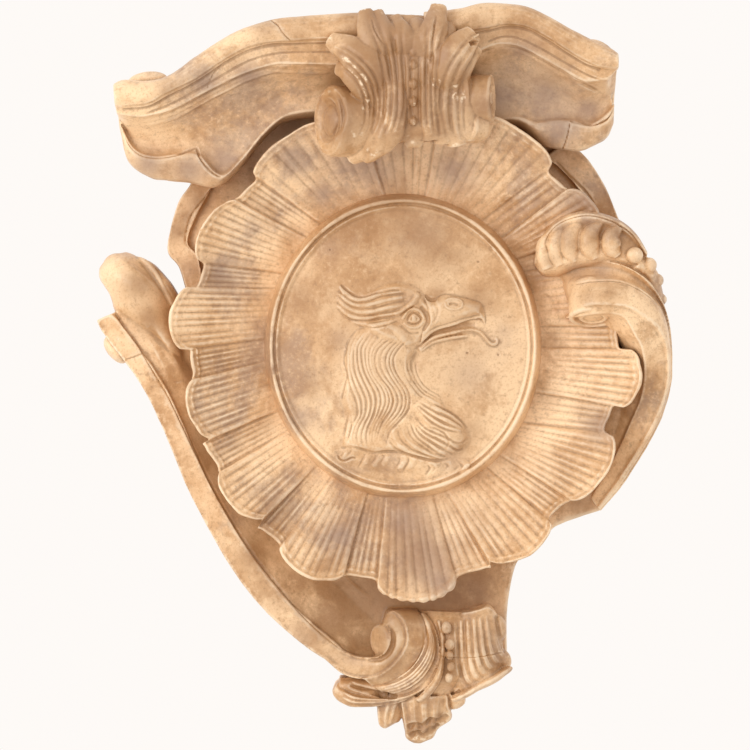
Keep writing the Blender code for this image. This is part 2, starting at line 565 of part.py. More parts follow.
def carve_bottom_clasp(block):
    """The leaf clasp under the volute: its bed, crescent leaves, right shell and bead row."""
    block.ridge(FOOT_SHEET, (
        ((740, 235), (1300, 240), 49), ((760, 300), (1340, 300), 54), ((770, 400), (1350, 400), 57),
        ((740, 560), (1340, 560), 57), ((640, 700), (1330, 660), 55), ((500, 800), (1150, 780), 50),
        ((440, 900), (1050, 880), 41),
    ), drop=14)
    block.ridge(FOOT_SHEET, (
        ((185, 745), (180, 880), 27), ((280, 735), (280, 900), 30), ((390, 735), (400, 905), 33),
        ((520, 700), (560, 870), 37),
    ), drop=8)
    block.ridge(FOOT_SHEET, (
        ((738, 255), (775, 245), 49), ((765, 330), (842, 322), 55), ((775, 425), (882, 420), 59),
        ((760, 520), (892, 530), 60), ((705, 620), (868, 650), 59), ((625, 695), (810, 745), 56),
        ((525, 745), (735, 830), 52), ((430, 772), (610, 875), 48), ((385, 790), (500, 868), 43),
    ), drop=8)
    block.ridge(FOOT_SHEET, (
        ((830, 700), (880, 680), 54), ((745, 815), (800, 800), 51), ((610, 872), (655, 892), 48),
        ((500, 865), (545, 934), 45), ((380, 865), (400, 956), 42), ((250, 842), (245, 962), 39),
        ((165, 800), (145, 925), 36), ((140, 770), (92, 862), 33), ((168, 750), (115, 790), 29),
    ), drop=8)
    block.ridge(FOOT_SHEET, (
        ((872, 300), (900, 300), 53), ((900, 430), (930, 430), 59), ((898, 560), (932, 560), 61),
        ((860, 700), (915, 705), 59), ((785, 820), (850, 830), 53), ((700, 900), (770, 920), 46),
    ), drop=6)
    brim = ((1392, 680, 38), (1290, 742, 43), (1180, 795, 46), (1090, 848, 45), (1020, 880, 42))
    path = [(*on_sheet(FOOT_SHEET, point), point[2]) for point in brim]
    block.sweep(path, (4, 5, 5, 5, 4), (12, 13, 13, 12, 10))
    reeds = (
        (((60, -270, 50), (60, -309, 58), (62, -336, 52), (50, -352, 40)), (6, 8, 8, 6)),
        (((68, -266, 50), (72, -306, 58), (76, -338, 48)), (6, 8, 7)),
        (((77, -262, 48), (82, -302, 55), (90, -332, 44)), (6, 8, 7)),
        (((86, -261, 44), (92, -296, 50), (102, -324, 36)), (6, 8, 6)),
        (((93, -265, 36), (98, -282, 40), (98, -296, 34)), (5, 7, 5)),
    )
    for path, widths in reeds:
        block.sweep(path, widths, [8] * len(path))
    beads = ((943, 352, 61), (968, 470, 64), (965, 540, 65), (975, 640, 65), (962, 722, 63))
    radius = FOOT_BEAD_RADIUS / STEP
    for across, down, level in beads:
        place = on_sheet(FOOT_SHEET, (across, down))
        block.egg((*place, level), (radius, radius, BEAD_RADIUS / LEVEL))


def carve_tips(block):
    """The leaf tips that droop under the bottom clasp: left, middle and the small one on the right."""
    block.ridge(FOOT_SHEET, (
        ((430, 900), (640, 880), 42), ((432, 990), (612, 980), 38), ((436, 1060), (600, 1062), 33),
        ((445, 1105), (560, 1095), 29), ((470, 1132), (510, 1126), 24),
    ), drop=9)
    block.ridge(FOOT_SHEET, (
        ((590, 880), (960, 870), 46), ((605, 960), (965, 950), 43), ((622, 1060), (985, 1052), 39),
        ((636, 1140), (885, 1135), 35), ((648, 1205), (850, 1200), 31), ((700, 1242), (775, 1240), 27),
    ), drop=9)
    block.ridge(FOOT_SHEET, (
        ((930, 860), (1075, 868), 41), ((945, 920), (1092, 930), 37), ((955, 965), (1045, 975), 32),
        ((985, 985), (1015, 985), 28),
    ), drop=8)


def field_level(column, row):
    """The level of the medallion's domed field at a grid place."""
    half_wide = MEDALLION_WIDTH / STEP / 2
    half_high = MEDALLION_HEIGHT / STEP / 2
    out = (column / half_wide) ** 2 + (row / half_high) ** 2
    return (MEDALLION_DEPTH - FIELD_FALL * out) / LEVEL


def carve_head(block):
    """The bird's head in relief on the medallion: crown, beak, ragged neck and its main locks."""
    rise = HEAD_RELIEF / LEVEL

    def on_field(path, lift):
        return [(column, row, field_level(column, row) + lift * rise) for column, row in path]

    block.egg(on_field([(-12, 34)], 0.1)[0], (36, 25, rise), tilt=4)
    block.egg(on_field([(6, 18)], 0.1)[0], (22, 20, rise * 1.1), tilt=-30)
    neck = (
        ((-36, 26), (16, 22)), ((-50, 4), (6, 0)), ((-55, -24), (2, -26)), ((-55, -48), (22, -52)),
        ((-52, -72), (50, -70)), ((-58, -96), (62, -96)), ((-48, -120), (44, -118)),
        ((-20, -131), (16, -130)),
    )
    stations = []
    for left, right in neck:
        edge = field_level(*left)
        crown = field_level(*mix(left, right, 0.5)) + rise * 0.7
        stations.append((
            (*left, edge - 12), (*mix(left, right, 0.03), edge),
            (*mix(left, right, 0.2), crown - 1.5), (*mix(left, right, 0.5), crown),
            (*mix(left, right, 0.8), crown - 1.5), (*mix(left, right, 0.97), edge),
            (*right, edge - 12),
        ))
    block.sections(stations)
    limbs = (
        (((14, 34), (40, 38), (60, 36), (74, 31), (81, 23)), (15, 14, 10, 6, 2.5), 0.9),
        (((12, 0), (28, 7), (44, 10), (58, 11)), (7, 5, 4, 3), 0.6),
        (((44, 12), (68, 15), (80, 11), (88, 3), (96, 5)), (3, 3, 3, 3, 2.5), 0.4),
        (((-18, 58), (-42, 60), (-63, 62)), (8, 6, 2.5), 0.8),
        (((-24, 50), (-48, 48), (-66, 54)), (8, 6, 2.5), 0.8),
        (((-28, 40), (-50, 36), (-67, 43)), (8, 6, 2.5), 0.8),
        (((-26, 30), (-46, 26), (-64, 37)), (8, 6, 2.5), 0.8),
        (((2, 8), (-18, -14), (-20, -40), (-8, -66), (-22, -96)), (7, 9, 9, 9, 5), 1.0),
        (((-14, 14), (-34, -10), (-38, -40), (-28, -66), (-40, -98)), (7, 9, 9, 9, 5), 0.8),
        (((-30, 22), (-48, -6), (-52, -36), (-46, -66), (-56, -96)), (5, 7, 7, 7, 4), 0.5),
        (((8, 2), (-2, -24), (2, -46), (26, -58), (50, -74), (58, -92)), (6, 7, 7, 8, 8, 5), 0.8),
        (((-2, -60), (8, -84), (4, -112)), (7, 10, 5), 0.9),
        (((24, -66), (36, -90), (28, -114)), (8, 11, 5), 0.9),
    )
    for path, widths, lift in limbs:
        block.sweep(on_field(path, lift * 0.5), widths, [rise * 0.6 * lift + 1] * len(path), sides=8)
    block.egg(on_field([(9, 28)], 1.1)[0], (6, 6, 3))


def stone_material():
    """Honey-coloured marble, half polished."""
    material = bpy.data.materials.new("marble")
    material.use_nodes = True
    surface = material.node_tree.nodes["Principled BSDF"]
    surface.inputs["Base Color"].default_value = (0.52, 0.34, 0.18, 1.0)
    surface.inputs["Roughness"].default_value = 0.45
    surface.inputs["Metallic"].default_value = 0.0
    return material


def loose_bodies(work):
    """The mesh's separate bodies, each a list of its vertices."""
    waiting = set(work.verts)
    bodies = []
    while waiting:
        body = [waiting.pop()]
        for vertex in body:
            for edge in vertex.link_edges:
                other = edge.other_vert(vertex)
                if other in waiting:
                    waiting.remove(other)
                    body.append(other)
        bodies.append(body)
    return bodies


def flat_back(mesh):
    """Cut the stone off at the wall plane and close the cut with one flat face."""
    work = bmesh.new()
    work.from_mesh(mesh)
    for body in loose_bodies(work):
        if len(body) < FEWEST_CORNERS:
            bmesh.ops.delete(work, geom=body, context="VERTS")
    cut = bmesh.ops.bisect_plane(
        work, geom=work.verts[:] + work.edges[:] + work.faces[:], dist=1e-7,
        plane_co=(0, 0, 0), plane_no=(0, 1, 0), clear_outer=True,
    )
    rim = [item for item in cut["geom_cut"] if isinstance(item, bmesh.types.BMEdge)]
    bmesh.ops.triangle_fill(work, edges=rim, use_beauty=True, normal=(0, 1, 0))
    bmesh.ops.recalc_face_normals(work, faces=work.faces[:])
    work.to_mesh(mesh)
    work.free()


def join_forms(block):
    """Merge the overlapping forms into one closed skin and thin it to the triangles kept."""
    mesh = bpy.data.meshes.new("forms")
    block.mesh.to_mesh(mesh)
    block.mesh.free()
    forms = bpy.data.objects.new("forms", mesh)
    bpy.context.collection.objects.link(forms)
    merge = forms.modifiers.new("merge", "REMESH")
    merge.mode = "VOXEL"
    merge.voxel_size = CELL
    merge.adaptivity = 0.0
    depsgraph = bpy.context.evaluated_depsgraph_get()
    faces = len(forms.evaluated_get(depsgraph).data.polygons)
    thin = forms.modifiers.new("thin", "DECIMATE")
    thin.ratio = min(1.0, MOST_TRIANGLES / (2 * faces))
    depsgraph = bpy.context.evaluated_depsgraph_get()
    skin = bpy.data.meshes.new_from_object(forms.evaluated_get(depsgraph))
    bpy.data.objects.remove(forms)
    return skin


def main():
    """Carve every form into the block and leave one object, the cartouche."""
    for old in list(bpy.data.objects):
        bpy.data.objects.remove(old)
    block = Block()
    for carve in (
        carve_slab, carve_ears, carve_frill, carve_medallion, carve_crest, carve_left_arm, carve_knob,
        carve_bottom_volute, carve_right_scroll, carve_gadroons, carve_top_clasp, carve_bottom_clasp,
        carve_tips, carve_head,
    ):
        carve(block)
    skin = join_forms(block)
    flat_back(skin)
    skin.name = "cartouche"
    skin.materials.append(stone_material())
    stone = bpy.data.objects.new("cartouche", skin)
    bpy.context.collection.objects.link(stone)


main()
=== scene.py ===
"""A rococo cartouche, carved from one block of honey-coloured marble and half polished.

The frame has +Z up, the carving faces -Y and its flat back lies on the wall plane y = 0, behind the
middle of the oval medallion. Carved forms are drawn on a grid: columns right and rows up from that
middle, in steps of STEP, and levels out from the wall, in steps of LEVEL. Close details are drawn on
enlarged sheets laid over the grid.
"""

import logging
import math
from abc import ABC, abstractmethod
from dataclasses import dataclass
from enum import Enum
from typing import Iterable, Sequence

import bmesh
import bpy
import numpy as np
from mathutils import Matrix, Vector
from mathutils.kdtree import KDTree


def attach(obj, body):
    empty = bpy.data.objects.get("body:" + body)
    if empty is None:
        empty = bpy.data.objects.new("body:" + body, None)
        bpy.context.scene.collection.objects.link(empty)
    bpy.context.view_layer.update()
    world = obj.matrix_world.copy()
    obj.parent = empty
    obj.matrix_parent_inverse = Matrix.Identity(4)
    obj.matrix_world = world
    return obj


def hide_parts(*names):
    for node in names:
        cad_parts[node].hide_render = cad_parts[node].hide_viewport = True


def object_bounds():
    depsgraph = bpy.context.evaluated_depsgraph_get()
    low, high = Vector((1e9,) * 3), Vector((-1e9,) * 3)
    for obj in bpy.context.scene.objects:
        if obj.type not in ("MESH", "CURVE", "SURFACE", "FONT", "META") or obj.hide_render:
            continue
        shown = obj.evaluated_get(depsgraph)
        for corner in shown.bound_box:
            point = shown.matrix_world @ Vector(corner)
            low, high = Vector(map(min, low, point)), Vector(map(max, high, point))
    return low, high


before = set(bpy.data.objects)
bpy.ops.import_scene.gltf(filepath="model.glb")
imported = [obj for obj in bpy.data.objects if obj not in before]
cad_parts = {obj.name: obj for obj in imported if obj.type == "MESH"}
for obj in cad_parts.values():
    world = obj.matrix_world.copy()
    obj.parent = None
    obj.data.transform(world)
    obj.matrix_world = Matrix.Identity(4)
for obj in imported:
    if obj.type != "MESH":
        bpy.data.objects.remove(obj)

CAD_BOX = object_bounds()
LOG = logging.getLogger("cartouche")

# The grid: a step and a level in metres, and the level behind the wall plane where forms begin
STEP = 0.500 / 739
LEVEL = 0.001
BEHIND = -3

# The uneven surface of hand work: the size and the depth of its waves, dents and pits, in metres
WAVES = (0.024, 0.00035)
DENTS = (0.007, 0.00016)
PITS = (0.0028, 0.00007)

# A chip's rough floor: the size of its crumbs in metres, and the bite in metres that bares fresh stone
CRUMBS = 0.0022
FRESH_BITE = 0.00022

# Tools work on what faces the front by more than this, and fully after the span
FACING = 0.08
FACING_SPAN = 0.35

# How hollows are found: rounds of smoothing, and the depth in metres that fills half the mark's range
FINE_ROUNDS = 9
BROAD_ROUNDS = 22
FINE_RANGE = 0.0005
BROAD_RANGE = 0.0030
SHARP_ANGLE = 65

# The medallion, shared by the frill round it and the bird carved on it, in metres
MEDALLION_WIDTH = 0.1874
MEDALLION_HEIGHT = 0.2063
MEDALLION_DEPTH = 0.066
FIELD_FALL = 0.0085
FRILL_FOOT_DEPTH = 0.045

Path2 = Sequence[Sequence[float]]
Pairs = Iterable[tuple[Sequence[float], Sequence[float], float]]
Colour = tuple[float, float, float]
Socket = bpy.types.NodeSocket


def smooth(points: Path2, spans: int) -> np.ndarray:
    """Follow a Catmull-Rom curve through the given points.

    Args:
        points: the points, of any number of coordinates.
        spans: how many stretches the curve gets between two given points.

    Returns:
        The points along the curve, both ends included.
    """
    knots = np.asarray(points, dtype=float)
    padded = np.concatenate((2 * knots[:1] - knots[1:2], knots, 2 * knots[-1:] - knots[-2:-1]))
    share = (np.arange(spans) / spans).reshape(-1, *([1] * (knots.ndim - 1)))
    curve = []
    for p0, p1, p2, p3 in zip(padded[:-3], padded[1:-2], padded[2:-1], padded[3:]):
        bend = 2 * p0 - 5 * p1 + 4 * p2 - p3
        twist = 3 * p1 - p0 - 3 * p2 + p3
        curve.append(0.5 * (2 * p1 + (p2 - p0) * share + bend * share**2 + twist * share**3))
    return np.concatenate((*curve, knots[-1:]))


def evenly(points: Path2, count: int) -> np.ndarray:
    """Take count points at even distances along a smooth curve through the given points."""
    curve = smooth(points, 6)
    run = np.concatenate(([0.0], np.cumsum(np.linalg.norm(np.diff(curve, axis=0), axis=1))))
    places = np.linspace(0.0, run[-1], count)
    return np.stack([np.interp(places, run, column) for column in curve.T], axis=1)


def mix(start: Sequence[float], end: Sequence[float], share: float) -> tuple[float, ...]:
    """The point a share of the way from start to end."""
    return tuple(a + (b - a) * share for a, b in zip(start, end))


def to_metres(points: Path2) -> np.ndarray:
    """Grid points (column, row, level) as places in metres."""
    grid = np.asarray(points, dtype=float)
    return np.stack((grid[..., 0] * STEP, -grid[..., 2] * LEVEL, grid[..., 1] * STEP), axis=-1)


@dataclass(frozen=True)
class Sheet:
    """An enlarged drawing laid over the grid: where its top left corner lies, and its scale."""

    left: float
    top: float
    scale: float

    def place(self, points: Path2) -> np.ndarray:
        """Points read on the sheet, right and down from its corner, as grid columns and rows."""
        drawn = np.asarray(points, dtype=float)
        across = self.left + drawn[..., 0] * self.scale
        return np.stack((across, self.top - drawn[..., 1] * self.scale), axis=-1)

    def pairs(self, drawn: Pairs) -> Pairs:
        """Stations of a ridge drawn on the sheet, each a left place, a right place and a level."""
        return [(self.place(left), self.place(right), level) for left, right, level in drawn]

    def strokes(self, drawn: Iterable[tuple], fade: float) -> list["Stroke"]:
        """Strokes drawn on the sheet, each a path, a width, a rise and, unless round, its cut."""
        return [Stroke(self.place(path), width, rise, cut[0] if cut else Cut.ROUND, fade)
                for path, width, rise, *cut in drawn]

    def chips(self, seen: Iterable[tuple], usual: float = 1.4) -> list["Chip"]:
        """Chips seen on the sheet, each a place, a radius and, unless it is the usual one, its depth."""
        return [Chip(tuple(self.place(place)), radius, depth[0] if depth else usual)
                for place, radius, *depth in seen]


FRONT_SHEET = Sheet(-403.0, 346.0, 1.0)
KNOB_SHEET = Sheet(-323.0, 116.0, 0.1085)
CLASP_SHEET = Sheet(-103.0, 346.0, 0.12755)
SCROLL_SHEET = Sheet(117.0, 146.0, 0.1148)
FOOT_SHEET = Sheet(-83.0, -234.0, 0.1339)
BIRD_SHEET = Sheet(-93.0, 86.0, 0.14035)


class Cut(Enum):
    """How a stroke of the chisel shapes the stone beside its path."""

    ROUND = "round"
    VEE = "vee"
    LEDGE = "ledge"


@dataclass(frozen=True)
class Stroke:
    """One stroke of the chisel: a raised or cut line drawn on the front of the stone.

    A ledge rises on the left of its path only, so it leaves a crisp edge along it.
    """

    path: np.ndarray
    width: float
    rise: float
    cut: Cut = Cut.ROUND
    fade: float = 0.12

    def height(self, gap: np.ndarray, share: np.ndarray) -> np.ndarray:
        """The rise in levels at a signed distance from the path and a share of its length."""
        side = np.abs(gap) / self.width
        if self.cut is Cut.ROUND:
            profile = np.clip(1 - side**2, 0, 1) ** 1.5
        elif self.cut is Cut.VEE:
            profile = np.clip(1 - side, 0, 1) ** 1.3
        else:
            profile = np.where(gap > 0, np.clip(1 - side, 0, 1) ** 2, 0.0)
        ends = np.clip(np.minimum(share, 1 - share) / max(self.fade, 1e-6), 0, 1)
        return self.rise * profile * np.sqrt(ends)


@dataclass(frozen=True)
class Mound:
    """A raised patch with a rounded shoulder: its outline, its rise, and the shoulder's width."""

    outline: np.ndarray
    rise: float
    shoulder: float
    soft: bool = False


@dataclass(frozen=True)
class Chip:
    """A broken flake on an edge: its grid place, its radius in steps and how deep it bites."""

    place: tuple[float, float]
    radius: float
    depth: float = 1.6


class Patina(Enum):
    """The kinds of brown or grey patch laid on the stone: stains, and in places painted shade."""

    SMOKY = "smoky"
    BROWNED = "browned"


@dataclass(frozen=True)
class Stain:
    """A stained patch on the front, or in places painted shade: its grid place, its radius in steps, its kind
    and strength.
    """

    place: tuple[float, float]
    radius: float
    patina: Patina
    strength: float


def stains(seen: Iterable[Sequence[float]], patina: Patina, strength: float) -> list[Stain]:
    """Stains of one kind at places of the front sheet, each right, down and radius."""
    return [Stain(tuple(FRONT_SHEET.place((across, down))), radius, patina, strength)
            for across, down, radius in seen]


def fan(first: Path2, last: Path2, count: int) -> list[np.ndarray]:
    """Spread count lines evenly from the first line to the last."""
    start, end = evenly(first, 16), evenly(last, 16)
    return [start + (end - start) * share for share in np.linspace(0, 1, count)]


def gap_from(points: np.ndarray, path: np.ndarray) -> tuple[np.ndarray, np.ndarray]:
    """Measure places against a path.

    Args:
        points: grid places, one row each.
        path: the path's grid points.

    Returns:
        Each place's distance from the path, more than 0 on its left, and the share of the path's
        length at which it is nearest.
    """
    starts, ways = path[:-1], np.diff(path, axis=0)
    lengths = np.maximum(np.linalg.norm(ways, axis=1), 1e-9)
    offsets = points[:, None] - starts[None]
    along = np.clip((offsets * ways).sum(axis=2) / lengths**2, 0, 1)
    gaps = offsets - along[..., None] * ways
    squares = (gaps**2).sum(axis=2)
    best = squares.argmin(axis=1)
    rows = np.arange(len(points))
    nearest = offsets[rows, best]
    side = np.sign(ways[best, 0] * nearest[:, 1] - ways[best, 1] * nearest[:, 0])
    before = np.concatenate(([0.0], np.cumsum(lengths)))
    share = (before[best] + along[rows, best] * lengths[best]) / before[-1]
    return np.sqrt(squares[rows, best]) * np.where(side == 0, 1, side), share


def inside(points: np.ndarray, outline: np.ndarray) -> np.ndarray:
    """Whether each place lies inside a closed outline."""
    ahead = np.roll(outline, -1, axis=0)
    within = np.zeros(len(points), dtype=bool)
    for (x0, y0), (x1, y1) in zip(outline, ahead):
        if y0 == y1:
            continue
        crosses = (y0 > points[:, 1]) != (y1 > points[:, 1])
        within ^= crosses & (points[:, 0] < x0 + (points[:, 1] - y0) * (x1 - x0) / (y1 - y0))
    return within


def lumps(points: np.ndarray, size: float, seed: int) -> np.ndarray:
    """Smooth random values from -1 to 1 at places in metres, with lumps of about the given size."""
    table = np.random.default_rng(seed).uniform(-1, 1, (32, 32, 32))
    cell = points / size + 1000
    base = np.floor(cell).astype(int)
    part = cell - base
    part = part * part * (3 - 2 * part)
    total = np.zeros(len(points))
    for corner in np.ndindex(2, 2, 2):
        weight = np.prod(np.where(corner, part, 1 - part), axis=1)
        index = (base + corner) % 32
        total += weight * table[index[:, 0], index[:, 1], index[:, 2]]
    return total


def applied(work: bpy.types.Object) -> bpy.types.Mesh:
    """The mesh that a work object's modifiers make, as a new mesh; the work object goes."""
    mesh = work.data
    found = bpy.data.meshes.new_from_object(work.evaluated_get(bpy.context.evaluated_depsgraph_get()))
    bpy.data.objects.remove(work)
    bpy.data.meshes.remove(mesh)
    return found


class Forms:
    """Closed forms that overlap, gathered for one carving."""

    def __init__(self) -> None:
        """Start with no forms."""
        self.corners: list[np.ndarray] = []
        self.faces: list[list[int]] = []
        self.count = 0

    def loft(self, rings: Sequence[np.ndarray] | np.ndarray) -> None:
        """Skin closed rings of equal length, in metres, and cap both ends."""
        rows = np.asarray(rings, dtype=float)
        number, size = rows.shape[:2]
        index = self.count + np.arange(number * size).reshape(number, size)
        ahead = np.roll(index, -1, axis=1)
        quads = np.stack((index[:-1], ahead[:-1], ahead[1:], index[1:]), axis=-1)
        self.faces += quads.reshape(-1, 4).tolist()
        self.faces += [index[0, ::-1].tolist(), index[-1].tolist()]
        self.corners.append(rows.reshape(-1, 3))
        self.count += number * size

    def sweep(self, path: Path2, widths: Sequence[float], depths: Sequence[float],
              sides: int = 20, spans: int = 6) -> None:
        """Lay a round or flattened limb along a path.

        Args:
            path: grid points with levels.
            widths: half widths in steps, one for each point.
            depths: half depths in levels, one for each point.
            sides: how many sides its section has.
            spans: how many stretches there are between two points.
        """
        line = to_metres(smooth(path, spans))
        wide = smooth(np.reshape(widths, (-1, 1)), spans)[:, 0] * STEP
        deep = smooth(np.reshape(depths, (-1, 1)), spans)[:, 0] * LEVEL
        along = np.gradient(line, axis=0)
        along /= np.linalg.norm(along, axis=1)[:, None]
        across = np.cross(along, (0.0, -1.0, 0.0))
        across /= np.linalg.norm(across, axis=1)[:, None]
        outward = np.cross(across, along)
        angles = np.arange(sides) * math.tau / sides
        self.loft(line[:, None]
                  + across[:, None] * (wide[:, None, None] * np.cos(angles)[None, :, None])
                  + outward[:, None] * (deep[:, None, None] * np.sin(angles)[None, :, None]))

    def turned(self, centre: Sequence[float], axis: Sequence[float],
               profile: Sequence[tuple[float, float]], sides: int = 72) -> None:
        """Turn a profile about an axis.

        Args:
            centre: the grid point that the axis passes through.
            axis: the way the axis points.
            profile: pairs of radius and distance along the axis, in metres.
            sides: how many sides the form has.
        """
        ahead = np.asarray(axis, dtype=float)
        ahead /= np.linalg.norm(ahead)
        side = np.cross(ahead, (0.0, 0.0, 1.0) if abs(ahead[2]) < 0.8 else (1.0, 0.0, 0.0))
        side /= np.linalg.norm(side)
        rise = np.cross(ahead, side)
        angles = np.arange(sides) * math.tau / sides
        spokes = np.cos(angles)[:, None] * side + np.sin(angles)[:, None] * rise
        middle = to_metres(centre)
        self.loft([middle + ahead * distance + spokes * radius for radius, distance in profile])

    def egg(self, centre: Sequence[float], radii: Sequence[float], tilt: float = 0.0,
            rows: int = 18, sides: int = 28) -> None:
        """Set an egg on a grid point.

        Args:
            centre: its middle.
            radii: along and across in steps, and out in levels.
            tilt: how far its long axis turns from the horizontal, in degrees.
            rows: how many rings it has.
            sides: how many sides each ring has.
        """
        turn = math.radians(tilt)
        long_axis = np.array((math.cos(turn), 0.0, math.sin(turn))) * radii[0] * STEP
        cross_axis = np.array((-math.sin(turn), 0.0, math.cos(turn))) * radii[1] * STEP
        out_axis = np.array((0.0, -1.0, 0.0)) * radii[2] * LEVEL
        angles = np.arange(sides) * math.tau / sides
        round_it = np.cos(angles)[:, None] * cross_axis + np.sin(angles)[:, None] * out_axis
        middle = to_metres(centre)
        self.loft([middle + long_axis * math.cos(polar) + round_it * math.sin(polar)
                   for polar in np.linspace(0.05, math.pi - 0.05, rows)])

    def sections(self, stations: Sequence[Path2], spans: int = 8, round_by: int = 3) -> None:
        """Skin cross-sections, each a run of grid points, smoothed along and round."""
        rounded = [smooth(station, round_by) for station in stations]
        self.loft(to_metres(smooth(rounded, spans)))

    def bolster(self, stations: Pairs,
                foot: float = BEHIND, drop: float = 10, spans: int = 8) -> None:
        """Raise a rounded ridge between a left and a right line.

        Args:
            stations: the left place, the right place and the crown's level, one after another.
            foot: the level where its sides end.
            drop: how far the sides' tops lie below the crown, in levels.
            spans: how many stretches there are between two stations.
        """
        self.sections([(
            (*left, foot), (*left, level - drop), (*mix(left, right, 0.10), level - drop * 0.5),
            (*mix(left, right, 0.28), level - drop * 0.12), (*mix(left, right, 0.5), level),
            (*mix(left, right, 0.72), level - drop * 0.12), (*mix(left, right, 0.90), level - drop * 0.5),
            (*right, level - drop), (*right, foot),
        ) for left, right, level in stations], spans)

    def plate(self, outline: Iterable[Path2], depth: float, edge: float = 0.0015) -> None:
        """A flat plate from behind the wall plane, with a smooth outline made of joined curves."""
        rim = np.concatenate([smooth(stretch, 8)[:-1] for stretch in outline])
        flat = np.stack((rim[:, 0] * STEP, np.zeros(len(rim)), rim[:, 1] * STEP), axis=1)
        middle = flat.mean(axis=0)
        inset = flat + (middle - flat) / np.linalg.norm(flat - middle, axis=1)[:, None] * edge
        self.loft([flat + (0, -BEHIND * LEVEL, 0), flat + (0, edge - depth, 0), inset + (0, -depth, 0)])

    def merged(self, name: str, cell: float) -> bpy.types.Mesh:
        """Merge the forms into one closed skin.

        Args:
            name: the mesh's name.
            cell: the size of the skin's faces in metres.

        Returns:
            The skin as a new mesh.
        """
        mesh = bpy.data.meshes.new(name)
        mesh.from_pydata(np.concatenate(self.corners).tolist(), [], self.faces)
        work = bpy.data.objects.new(name, mesh)
        bpy.context.collection.objects.link(work)
        merge = work.modifiers.new("merge", "REMESH")
        merge.mode = "VOXEL"
        merge.voxel_size = cell
        merge.adaptivity = 0.0
        return applied(work)


